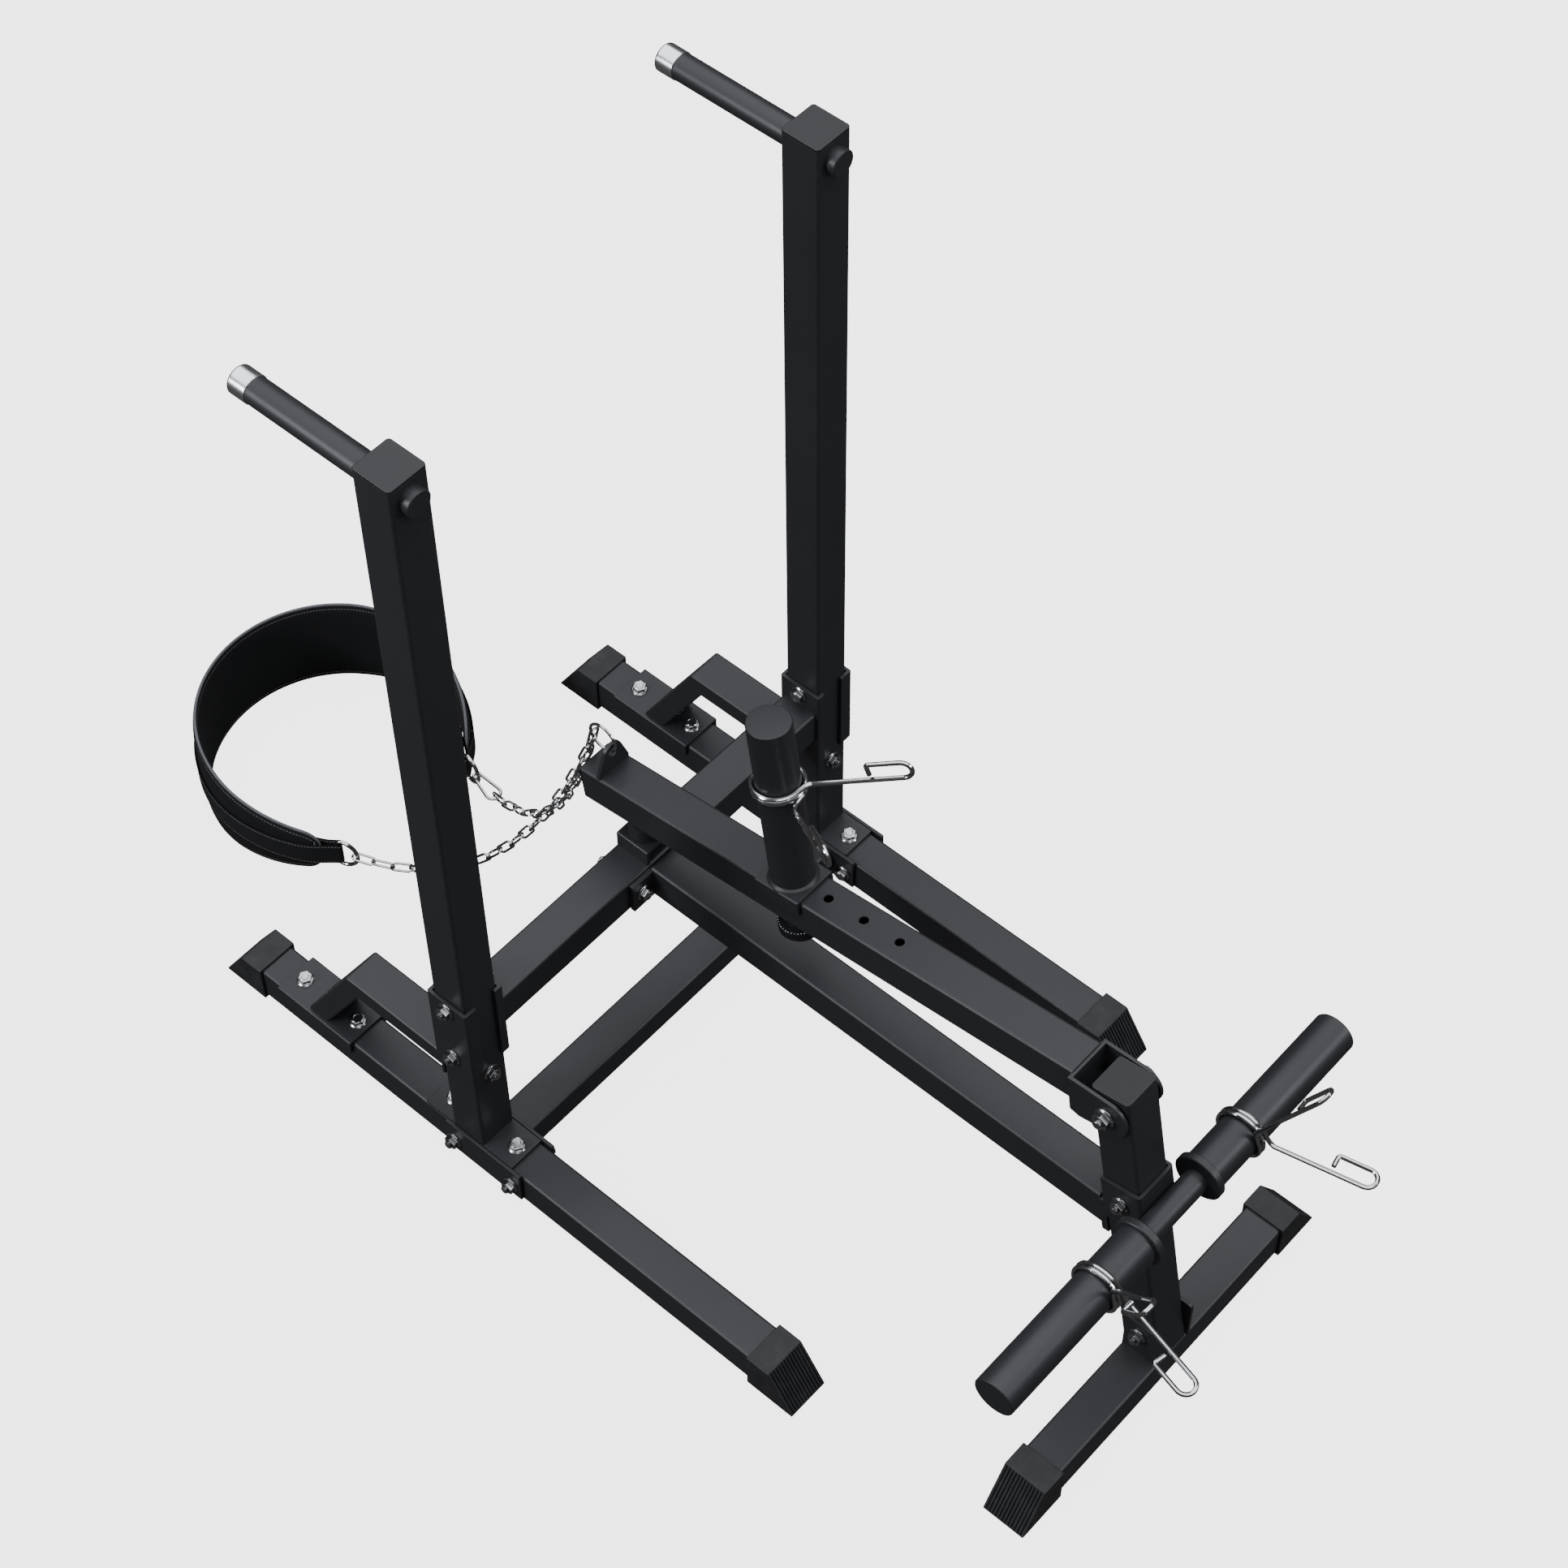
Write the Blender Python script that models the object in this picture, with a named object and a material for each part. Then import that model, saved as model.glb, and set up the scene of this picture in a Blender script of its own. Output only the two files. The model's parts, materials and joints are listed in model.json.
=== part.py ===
"""Plate-loaded dip station: a bolted square-tube frame with two dip handles,
a hinged weight lever with its loading post, a plate storage bar and a hip
belt that hangs on two chains from the lever.

Lengths are metres. Left is +X, the rear is +Y and +Z is up. The parts are
built with Y = 0 at the uprights; the whole model is moved at the end so that
the origin lies under the middle of its bounding box, on the floor.
"""
import math

import bmesh
import bpy
from mathutils import Matrix, Vector

# Sizes shared by the whole frame
GAP = 0.0003
HOLE_CLEARANCE = 0.0004
TUBE = 0.050
TUBE_WALL = 0.0025
TUBE_CORNER = 0.004
PLATE = 0.0045
EDGE = 0.0008
WELD = 0.0005
HALF_TUBE = TUBE / 2
SEAT = HALF_TUBE + GAP

# Floor rails, uprights and their plates
RAIL_X = 0.2965
RAIL_FRONT_END = -0.378
RAIL_REAR_END = 0.4655
FOOT_RUBBER = 0.0033
FOOT_LENGTH = 0.0323
FOOT_SLOPE_RUN = 0.0359
FOOT_POCKET = 0.028
UPRIGHT_TOP = 1.2019
CAP_PLATE = 0.0032
CAP_PLUG = 0.007
FOOT_PLATE_HALF_LENGTH = 0.070
SIDE_PLATE_LENGTH = 0.120
SIDE_PLATE_CENTRE_Y = 0.026
SIDE_PLATE_BOTTOM = 0.0085
SIDE_PLATE_BOLT_Y = (-0.022, 0.0705)
SIDE_PLATE_BOLT_Z = 0.0285
FOOT_PLATE_BOLT_Y = (-0.0465, 0.0545)
LOWER_BAR_Y = 0.025
LOWER_BAR_HEIGHT = 0.040

# Upper crossbar, its clamps and the spine
CROSSBAR_Z = 0.2813
CLAMP_HALF_HEIGHT = 0.068
CLAMP_CENTRE_Z = 0.272
CLAMP_BOLT_OFFSET = 0.047
CLAMP_OUTER_LIP = 0.0135
CLAMP_INNER_LIP = 0.0075
CLAMP_CHAMFER = 0.010
SPINE_PLATE = 0.0068
SPINE_PLATE_HALF_WIDTH = 0.058
SPINE_PLATE_BOLT_X = 0.0415
REAR_BLOCK = 0.0097
REAR_BLOCK_BOTTOM = 0.203
REAR_BLOCK_TOP = 0.2585
REAR_BLOCK_CHAMFER = 0.011

# Rear post, leaning towards the front
POST_Y = 0.7635
POST_LEAN = math.radians(10.46)
POST_LENGTH = 0.4581
BAR_HALF_LENGTH = 0.228
BAR_BEHIND_POST = 0.0016
BAR_Y = POST_Y + BAR_BEHIND_POST
POST_CLAMP_BOTTOM = 0.240
POST_CLAMP_TOP = 0.308
POST_CLAMP_FRONT = -0.0235
POST_CLAMP_BOLT = (0.0015, 0.280)
POST_BASE_BOLT = (0.003, 0.038)
POST_LUG_HEIGHT = 0.062

# Storage bar behind the post
STORAGE_ROD_RADIUS = 0.0152
STORAGE_ALONG_POST = 0.2744
SLEEVE_RADIUS = 0.0255
SLEEVE_WALL = 0.003
SLEEVE_END_X = 0.296
COLLAR_X = 0.0475
COLLAR_THICKNESS = 0.0095
COLLAR_RADIUS = 0.0305

# Dip handles
HANDLE_DROP = 0.0269
HANDLE_RADIUS = 0.0153
HANDLE_WALL = 0.0025
HANDLE_FRONT = -0.180
HANDLE_REAR = 0.037
HANDLE_CAP_RADIUS = 0.0161
HANDLE_CAP_LENGTH = 0.0245

# Step frames on the rails
STEP_TUBE_HEIGHT = 0.028
STEP_BEAM_TOP = 0.206
STEP_LEG_FRONT = -0.2685
STEP_LEG_LEAN = math.radians(29.8)
STEP_SADDLE_Y = (-0.318, -0.194)
STEP_SADDLE_FLAP = 0.015
STEP_OVERRUN = 0.010
STEP_SADDLE_BOLT_Y = (-0.300, -0.210)
STEP_PLATE_BOTTOM = 0.165
STEP_BOLT_Z = 0.1925

# Weight lever, its pivot and its stop
LEVER_FRONT_Y = -0.0773
LEVER_FRONT_TOP_Z = 0.4053
LEVER_LID = 0.003
LEVER_HOLES = (0.3063, 0.3573, 0.4083, 0.4593)
LEVER_HOLE_RADIUS = 0.0057
PIVOT_BELOW_POST_TOP = 0.0295
PIVOT_ACROSS_POST = -0.0032
PIVOT_DROP = 0.0319
PIVOT_BACKSET = 0.0483
PIVOT_BOLT_RADIUS = 0.006
PIVOT_SIDE_PLAY = 0.0023
PIVOT_WALL = 0.0045
PIVOT_CROSS_PLATE = 0.005
PIVOT_EYE_RADIUS = 0.028
BUSH_RADIUS = 0.012
BUSH_THICKNESS = 0.0016
HAT_HALF_LENGTH = 0.024
HAT_TOP = 0.330
HAT_WALL = 0.005
BUMPER_RADIUS = 0.0204
BUMPER_Y = -0.0005
EAR_Y = -0.0475
EAR_HOLE_Z = 0.4382
EAR_HOLE_RADIUS = 0.0074
EAR_TOP_RADIUS = 0.0145
EAR_HALF_WIDTH = 0.0245
EAR_THICKNESS = 0.005

# Weight saddle, loading post and knob
SADDLE_HALF_LENGTH = 0.0313
SADDLE_FLAP = 0.017
LOAD_POST_TOP = 0.252
WELD_RADIUS = 0.0295
WELD_HEIGHT = 0.004
STUD_RADIUS = 0.005
STUD_TOP = 0.014
KNOB_RADIUS = 0.026
KNOB_THICKNESS = 0.0133
KNOB_HUB_RADIUS = 0.017
KNOB_HUB_LENGTH = 0.0177
KNOB_EDGE = 0.0012

# Spring clips: a wire coil of two turns with two looped arms
CLIP_TURNS = 2
CLIP_COIL_CLEARANCE = 0.0005
CLIP_WIRE = 0.0025
CLIP_ARM = 0.115
CLIP_ARM_LEAN = math.radians(12)
CLIP_ARM_SPREAD = math.radians(29)
POST_CLIP_HEIGHT = 0.155
POST_CLIP_TURN = math.radians(1.5)
STORAGE_CLIP_X = 0.125
STORAGE_CLIP_TURN = {"left": math.radians(25), "right": math.radians(30)}
CLIP_LOOP_WIDTH = 0.023
CLIP_LOOP_RETURN = 0.034
CLIP_END_REACH = 0.003
CLIP_END_DROP = 0.015
CLIP_TURN_GAP = 0.0006

# Hip belt, standing on the floor on its lower edge
BELT_CENTRE = (0.0255, -0.528)
BELT_RADIUS = 0.1655
BELT_FLARE = 0.008
BELT_START = math.radians(46)
BELT_SWEEP = math.radians(286)
BELT_THICKNESS = 0.012
BELT_BACK_HEIGHT = 0.142
BELT_END_HEIGHT = 0.066
BELT_FLOOR_GAP = 0.001
STRAP_WIDTH = 0.037
STRAP_THICKNESS = 0.0022
STRAP_TURN_START = 0.003
D_RING_WIRE = 0.0027
D_RING_HALF_HEIGHT = 0.0225
D_RING_DEPTH = 0.026
D_RING_CORNER = 0.006

# Chains and their end links
CHAIN_WIRE = 0.0016
CHAIN_PITCH = 0.0258
CHAIN_WIDTH = 0.0138
CHAIN_PLAY = 0.0023
CHAIN_BITE = 0.0006
LEFT_CHAIN_LINKS = 21
RIGHT_CHAIN_LINKS = 18
END_LINK_EXTRA = 0.011
CHAIN_PUSH = 0.0015
CHAIN_PUSH_REACH = 0.14
EAR_LINK_WIRE = 0.0019
EAR_LINK_RADIUS = 0.019
EAR_LINK_AHEAD = 0.0128
SNAP_WIRE = 0.0022
SNAP_HALF_LENGTH = 0.024
SNAP_HALF_WIDTH = 0.0095
SNAP_DROP = 0.0015
LEFT_HOOK_ANGLE = math.radians(32)
RIGHT_HOOK_ANGLE = math.radians(-24)

# Bolts and nuts
BOLT_RADIUS = 0.005
FLANGE_RADIUS = 0.0108
FLANGE_HEIGHT = 0.0022
HEX_RADIUS = 0.0092
HEAD_HEIGHT = 0.0065
NUT_HEIGHT = 0.0085
THREAD_END = 0.004
VENT_RADIUS = 0.004
SHORT_BOLT = 0.022
ROUND_STEPS = 12
HOLE_STEPS = 8
SLEEVE_STEPS = 20

# Levels that follow from the sizes above
RAIL_Z = FOOT_RUBBER + GAP + HALF_TUBE
RAIL_TOP = RAIL_Z + HALF_TUBE
FOOT_HEIGHT = RAIL_TOP + GAP + FOOT_RUBBER
FOOT_PLATE_TOP = RAIL_TOP + GAP + PLATE
CLAMP_INNER_X = RAIL_X - SEAT - PLATE
CLAMP_OUTER_X = RAIL_X + SEAT + PLATE
STEP_PLATE_FRONT = -SEAT - PLATE
CROSSBAR_TOP = CROSSBAR_Z + HALF_TUBE
BELT_MID_Z = BELT_BACK_HEIGHT / 2 + BELT_FLOOR_GAP
HANDLE_Z = UPRIGHT_TOP - HANDLE_DROP


def pivot_height():
    """Y and Z of the lever's pivot, which the rear post carries below its top."""
    distance = POST_LENGTH - PIVOT_BELOW_POST_TOP
    y = POST_Y + PIVOT_ACROSS_POST * math.cos(POST_LEAN) - distance * math.sin(POST_LEAN)
    z = RAIL_TOP + PIVOT_ACROSS_POST * math.sin(POST_LEAN) + distance * math.cos(POST_LEAN)
    return y, z


def lever_reach():
    """Tilt of the resting lever and how far along it the pivot lies."""
    y, z = pivot_height()
    run = y - LEVER_FRONT_Y
    rise = z - LEVER_FRONT_TOP_Z
    apart = math.hypot(run, rise)
    return math.atan2(rise, run) + math.asin(PIVOT_DROP / apart), math.sqrt(apart ** 2 - PIVOT_DROP ** 2)


LEVER_TILT, PIVOT_ALONG = lever_reach()
LEVER_LENGTH = PIVOT_ALONG - PIVOT_BACKSET


def clear_scene():
    for item in list(bpy.data.objects):
        bpy.data.objects.remove(item)


def material(name, colour, roughness, metallic):
    made = bpy.data.materials.new(name)
    made.use_nodes = True
    shader = made.node_tree.nodes["Principled BSDF"]
    shader.inputs["Base Color"].default_value = (*colour, 1.0)
    shader.inputs["Roughness"].default_value = roughness
    shader.inputs["Metallic"].default_value = metallic
    return made


def black_paint(name):
    return material(name, (0.022, 0.023, 0.025), 0.42, 0.0)


def zinc(name):
    return material(name, (0.55, 0.56, 0.58), 0.30, 1.0)


def bright_steel(name):
    return material(name, (0.66, 0.67, 0.69), 0.16, 1.0)


def rubber(name):
    return material(name, (0.016, 0.016, 0.017), 0.78, 0.0)


def black_plastic(name):
    return material(name, (0.03, 0.031, 0.034), 0.5, 0.0)


def chrome(name):
    return material(name, (0.78, 0.78, 0.79), 0.08, 1.0)


def nylon(name):
    return material(name, (0.05, 0.05, 0.052), 0.45, 0.0)


def woven(name):
    return material(name, (0.018, 0.018, 0.02), 0.85, 0.0)


def face_out(work):
    """Point all faces of a closed bmesh outwards."""
    bmesh.ops.recalc_face_normals(work, faces=work.faces)
    if work.calc_volume(signed=True) < 0:
        bmesh.ops.reverse_faces(work, faces=work.faces)


def finish(name, work, look, origin=(0, 0, 0)):
    """Turn a bmesh in world coordinates into an object whose origin is given."""
    face_out(work)
    mesh = bpy.data.meshes.new(name)
    work.to_mesh(mesh)
    work.free()
    mesh.transform(Matrix.Translation(-Vector(origin)))
    for face in mesh.polygons:
        face.use_smooth = True
    mesh.set_sharp_from_angle(angle=math.radians(32))
    made = bpy.data.objects.new(name, mesh)
    made.location = origin
    bpy.context.scene.collection.objects.link(made)
    made.data.materials.append(look(name))
    return made


def merge(work, piece):
    """Add one finished bmesh to another as a separate solid."""
    mesh = bpy.data.meshes.new("piece")
    piece.to_mesh(mesh)
    piece.free()
    work.from_mesh(mesh)
    bpy.data.meshes.remove(mesh)


def along(start, direction):
    """Matrix that puts local Z along the direction, from the start point."""
    turn = Vector(direction).to_track_quat("Z", "Y").to_matrix().to_4x4()
    return Matrix.Translation(Vector(start)) @ turn


def frame_matrix(start, x_axis, y_axis, z_axis):
    columns = Matrix((x_axis, y_axis, z_axis)).transposed().to_4x4()
    return Matrix.Translation(Vector(start)) @ columns


def box(low, high, bevel=0, matrix=None):
    work = bmesh.new()
    size = Vector(high) - Vector(low)
    middle = (Vector(high) + Vector(low)) / 2
    bmesh.ops.create_cube(work, size=1.0)
    bmesh.ops.scale(work, vec=size, verts=work.verts)
    if bevel:
        bmesh.ops.bevel(work, geom=work.edges[:], offset=bevel, segments=1,
                        affect="EDGES", profile=0.5)
    bmesh.ops.translate(work, vec=middle, verts=work.verts)
    if matrix is not None:
        work.transform(matrix)
    return work


def prism(outline, low, high, matrix=None, bevel=0):
    """Extrude an outline of (x, y) points along local Z from low to high."""
    work = bmesh.new()
    corners = [work.verts.new((x, y, low)) for x, y in outline]
    face = work.faces.new(corners)
    grown = bmesh.ops.extrude_face_region(work, geom=[face])
    moved = [item for item in grown["geom"] if isinstance(item, bmesh.types.BMVert)]
    bmesh.ops.translate(work, vec=(0, 0, high - low), verts=moved)
    bmesh.ops.recalc_face_normals(work, faces=work.faces)
    if bevel:
        bmesh.ops.bevel(work, geom=work.edges[:], offset=bevel, segments=1,
                        affect="EDGES", profile=0.5, clamp_overlap=True)
    if matrix is not None:
        work.transform(matrix)
    return work


def rounded_loop(half_width, half_height, radius, steps=1):
    points = []
    for corner, (sx, sy) in enumerate(((1, 1), (-1, 1), (-1, -1), (1, -1))):
        for step in range(steps + 1):
            angle = math.pi / 2 * (corner + step / steps)
            points.append((sx * (half_width - radius) + radius * math.cos(angle),
                           sy * (half_height - radius) + radius * math.sin(angle)))
    return points


def tube(length, matrix, width=TUBE, height=TUBE, wall=TUBE_WALL, skew=(0, 0)):
    """Open-ended rectangular tube along local Z; skew tilts each cut end in local Y."""
    outer = rounded_loop(width / 2, height / 2, TUBE_CORNER)
    inner = rounded_loop(width / 2 - wall, height / 2 - wall, TUBE_CORNER - wall)
    work = bmesh.new()
    rings = []
    for outline in (outer, inner):
        for level, slope in ((0, skew[0]), (length, skew[1])):
            rings.append([work.verts.new((x, y, level + slope * y)) for x, y in outline])
    outer_low, outer_high, inner_low, inner_high = rings
    count = len(outer)
    for first, second in ((outer_low, outer_high), (outer_high, inner_high),
                          (inner_high, inner_low), (inner_low, outer_low)):
        for step in range(count):
            following = (step + 1) % count
            work.faces.new((first[step], first[following], second[following], second[step]))
    work.transform(matrix)
    return work


def turned(profile, matrix, steps=ROUND_STEPS):
    """Revolve a profile of (radius, height) points about local Z; ends on the axis close it."""
    work = bmesh.new()
    rings = []
    for radius, height in profile:
        if radius == 0:
            rings.append([work.verts.new((0, 0, height))])
            continue
        ring = []
        for step in range(steps):
            angle = math.tau * step / steps
            ring.append(work.verts.new((radius * math.cos(angle), radius * math.sin(angle), height)))
        rings.append(ring)
    pairs = list(zip(rings, rings[1:]))
    if len(rings[0]) > 1:
        pairs.append((rings[-1], rings[0]))
    for lower, upper in pairs:
        for step in range(steps):
            following = (step + 1) % steps
            corners = [lower[step % len(lower)], lower[following % len(lower)],
                       upper[following % len(upper)], upper[step % len(upper)]]
            work.faces.new(list(dict.fromkeys(corners)))
    work.transform(matrix)
    return work


def cut(name, work, cutters):
    """Subtract the cutter bodies from a bmesh with an exact Boolean."""
    made = plain_object(name + "_work", work)
    tool_mesh = bmesh.new()
    for cutter in cutters:
        merge(tool_mesh, cutter)
    tool = plain_object(name + "_cutter", tool_mesh)
    modifier = made.modifiers.new("cut", "BOOLEAN")
    modifier.operation = "DIFFERENCE"
    modifier.solver = "EXACT"
    modifier.object = tool
    result = evaluated(made)
    for item in (made, tool):
        bpy.data.objects.remove(item)
    return result


def plain_object(name, work):
    face_out(work)
    mesh = bpy.data.meshes.new(name)
    work.to_mesh(mesh)
    work.free()
    made = bpy.data.objects.new(name, mesh)
    bpy.context.scene.collection.objects.link(made)
    return made


def evaluated(item):
    depsgraph = bpy.context.evaluated_depsgraph_get()
    mesh = bpy.data.meshes.new_from_object(item.evaluated_get(depsgraph))
    work = bmesh.new()
    work.from_mesh(mesh)
    bpy.data.meshes.remove(mesh)
    return work


def hole(start, end, radius, steps=ROUND_STEPS):
    direction = Vector(end) - Vector(start)
    return turned([(0, 0), (radius, 0), (radius, direction.length), (0, direction.length)],
                  along(start, direction), steps)


def bolt_hole(start, end, radius=BOLT_RADIUS):
    """Clearance hole whose flats lie just outside the bolt's shank."""
    return hole(start, end, (radius + HOLE_CLEARANCE) / math.cos(math.pi / HOLE_STEPS), HOLE_STEPS)


def hex_scale(step):
    """Radius factor that flattens a twelve-point ring into a hexagon."""
    return 1.0 if step % 2 == 0 else math.cos(math.pi / 6)


def bolt(seat, direction, length, radius=BOLT_RADIUS):
    """Flange bolt whose head rests just off the seat point; the shank runs along the direction."""
    grow = radius / BOLT_RADIUS
    flange = FLANGE_RADIUS * grow
    work = turned([(0, -FLANGE_HEIGHT - HEAD_HEIGHT), (HEX_RADIUS * grow, -FLANGE_HEIGHT - HEAD_HEIGHT),
                   (HEX_RADIUS * grow, -FLANGE_HEIGHT), (flange, 0),
                   (radius, 0), (radius, length), (0, length)], Matrix.Identity(4))
    for corner in work.verts:
        flat = math.hypot(corner.co.x, corner.co.y)
        if corner.co.z < -FLANGE_HEIGHT * 0.9 and flat > 0:
            step = round(math.atan2(corner.co.y, corner.co.x) / (math.tau / ROUND_STEPS))
            corner.co.x *= hex_scale(step)
            corner.co.y *= hex_scale(step)
    unit = Vector(direction).normalized()
    work.transform(along(Vector(seat) - unit * GAP, unit))
    return work


def nut(seat, direction, radius=BOLT_RADIUS):
    """Flange nut on a seat point, growing along the direction; the thread fills its bore."""
    grow = radius / BOLT_RADIUS
    work = turned([(0, 0), (FLANGE_RADIUS * grow, 0), (HEX_RADIUS * grow, FLANGE_HEIGHT),
                   (HEX_RADIUS * grow, NUT_HEIGHT), (0, NUT_HEIGHT)], Matrix.Identity(4))
    for corner in work.verts:
        flat = math.hypot(corner.co.x, corner.co.y)
        if corner.co.z > FLANGE_HEIGHT * 0.9 and flat > 0:
            step = round(math.atan2(corner.co.y, corner.co.x) / (math.tau / ROUND_STEPS))
            corner.co.x *= hex_scale(step)
            corner.co.y *= hex_scale(step)
    unit = Vector(direction).normalized()
    work.transform(along(Vector(seat) + unit * GAP, unit))
    return work


def wire(name, points, radius, closed=False, resolution=1):
    """Round wire along a list of points, as a bmesh."""
    curve = bpy.data.curves.new(name, "CURVE")
    curve.dimensions = "3D"
    curve.bevel_depth = radius
    curve.bevel_resolution = resolution
    curve.use_fill_caps = not closed
    spline = curve.splines.new("POLY")
    spline.points.add(len(points) - 1)
    for slot, point in zip(spline.points, points):
        slot.co = (*point, 1.0)
    spline.use_cyclic_u = closed
    holder = bpy.data.objects.new(name, curve)
    bpy.context.scene.collection.objects.link(holder)
    work = evaluated(holder)
    bpy.data.objects.remove(holder)
    bmesh.ops.remove_doubles(work, verts=work.verts, dist=0.00001)
    return work


def lever_point(distance, height, side=0.0):
    """Point on the lever: distance from its front end, height over its top face."""
    front = Vector((side, LEVER_FRONT_Y, LEVER_FRONT_TOP_Z))
    return front + distance * lever_direction() + height * lever_normal()


def lever_direction():
    return Vector((0, math.cos(LEVER_TILT), math.sin(LEVER_TILT)))


def lever_normal():
    return Vector((0, -math.sin(LEVER_TILT), math.cos(LEVER_TILT)))


def lever_matrix(distance=0.0, height=0.0):
    """Local X across, local Y over the lever's top face, local Z along the lever."""
    return frame_matrix(lever_point(distance, height), (-1, 0, 0), lever_normal(), lever_direction())


def post_point(side, across, distance):
    """Point on the rear post: across is towards the rear, distance is up the post."""
    up = Vector((0, -math.sin(POST_LEAN), math.cos(POST_LEAN)))
    back = Vector((0, math.cos(POST_LEAN), math.sin(POST_LEAN)))
    return Vector((side, POST_Y, RAIL_TOP)) + across * back + distance * up


def post_matrix(distance=0.0):
    up = Vector((0, -math.sin(POST_LEAN), math.cos(POST_LEAN)))
    back = Vector((0, math.cos(POST_LEAN), math.sin(POST_LEAN)))
    return frame_matrix(post_point(0, 0, distance), (1, 0, 0), back, up)


def pivot_point(side=0.0):
    return lever_point(PIVOT_ALONG, -PIVOT_DROP, side)


def turn_to(x_axis, y_axis, start=(0, 0, 0)):
    """Matrix whose local X and Y follow the given axes."""
    third = Vector(x_axis).cross(Vector(y_axis))
    return frame_matrix(start, x_axis, y_axis, third)


def side_name(side):
    return "left" if side > 0 else "right"


def rail_bolt_holes(side):
    cutters = []
    for y in SIDE_PLATE_BOLT_Y:
        cutters.append(bolt_hole((side * RAIL_X - 0.05, y, SIDE_PLATE_BOLT_Z),
                                 (side * RAIL_X + 0.05, y, SIDE_PLATE_BOLT_Z)))
    for y in FOOT_PLATE_BOLT_Y + STEP_SADDLE_BOLT_Y:
        cutters.append(bolt_hole((side * RAIL_X, y, RAIL_TOP + 0.01), (side * RAIL_X, y, RAIL_Z)))
    return cutters


def build_rail(side):
    name = "rail_" + side_name(side)
    start = (side * RAIL_X, RAIL_FRONT_END, RAIL_Z)
    work = tube(RAIL_REAR_END - RAIL_FRONT_END, along(start, (0, 1, 0)))
    finish(name, cut(name, work, rail_bolt_holes(side)), black_paint)


def foot(matrix, name):
    """Slanted rubber shoe; local Z points out of the tube end, local Y is up."""
    half = HALF_TUBE + GAP + FOOT_RUBBER
    outline = [(0, 0), (FOOT_LENGTH + FOOT_SLOPE_RUN, 0), (FOOT_LENGTH, FOOT_HEIGHT), (0, FOOT_HEIGHT)]
    body = prism(outline, -half, half, turn_to((0, 0, 1), (0, 1, 0)), bevel=0.0012)
    pocket = box((-SEAT, RAIL_Z - SEAT, -0.01), (SEAT, RAIL_Z + SEAT, FOOT_POCKET))
    work = cut(name, body, [pocket])
    work.transform(matrix)
    return work


def build_rail_foot(side, facing):
    name = "foot_" + ("rear_" if facing > 0 else "front_") + side_name(side)
    end = RAIL_REAR_END if facing > 0 else RAIL_FRONT_END
    start = (side * RAIL_X, end - facing * (FOOT_POCKET - GAP), 0)
    matrix = frame_matrix(start, (-facing, 0, 0), (0, 0, 1), (0, facing, 0))
    finish(name, foot(matrix, name), rubber)


def build_bar_foot(side):
    name = "bar_foot_" + side_name(side)
    start = (side * (BAR_HALF_LENGTH - FOOT_POCKET + GAP), BAR_Y, 0)
    matrix = frame_matrix(start, (0, side, 0), (0, 0, 1), (side, 0, 0))
    finish(name, foot(matrix, name), rubber)


def build_foot_bar():
    """Rear foot bar with the two lugs for the post."""
    bar = tube(2 * BAR_HALF_LENGTH, along((-BAR_HALF_LENGTH, BAR_Y, RAIL_Z), (1, 0, 0)))
    work = joined("rear_foot_bar", [bar, post_lug(-1), post_lug(1)])
    finish("rear_foot_bar", cut("rear_foot_bar", work, [post_bolt_hole(POST_BASE_BOLT)]), black_paint)


def side_plate(side, edge):
    front = SIDE_PLATE_CENTRE_Y - SIDE_PLATE_LENGTH / 2
    rear = SIDE_PLATE_CENTRE_Y + SIDE_PLATE_LENGTH / 2
    low_x, high_x = sorted((side * edge, side * (edge + PLATE)))
    cutters = [bolt_hole((side * RAIL_X - 0.05, y, SIDE_PLATE_BOLT_Z),
                         (side * RAIL_X + 0.05, y, SIDE_PLATE_BOLT_Z)) for y in SIDE_PLATE_BOLT_Y]
    return cut("side_plate", box((low_x, front, SIDE_PLATE_BOTTOM), (high_x, rear, FOOT_PLATE_TOP)), cutters)


def build_outer_side_plate(side):
    finish("rail_outer_plate_" + side_name(side), side_plate(side, RAIL_X + SEAT), black_paint)


def build_lower_crossbar():
    """Lower crossbar with the two plates welded to its ends."""
    edge = RAIL_X - SEAT - PLATE
    reach = edge + WELD
    start = (-reach, LOWER_BAR_Y, RAIL_TOP - LOWER_BAR_HEIGHT / 2)
    matrix = frame_matrix(start, (0, 1, 0), (0, 0, 1), (1, 0, 0))
    bar = tube(2 * reach, matrix, height=LOWER_BAR_HEIGHT)
    pieces = [bar, side_plate(-1, edge), side_plate(1, edge)]
    vents = [hole((end - 0.02, LOWER_BAR_Y, RAIL_Z), (end + 0.02, LOWER_BAR_Y, RAIL_Z), VENT_RADIUS)
             for end in (-edge, edge)]
    finish("lower_crossbar", cut("lower_crossbar", joined("lower_crossbar", pieces), vents), black_paint)


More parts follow.
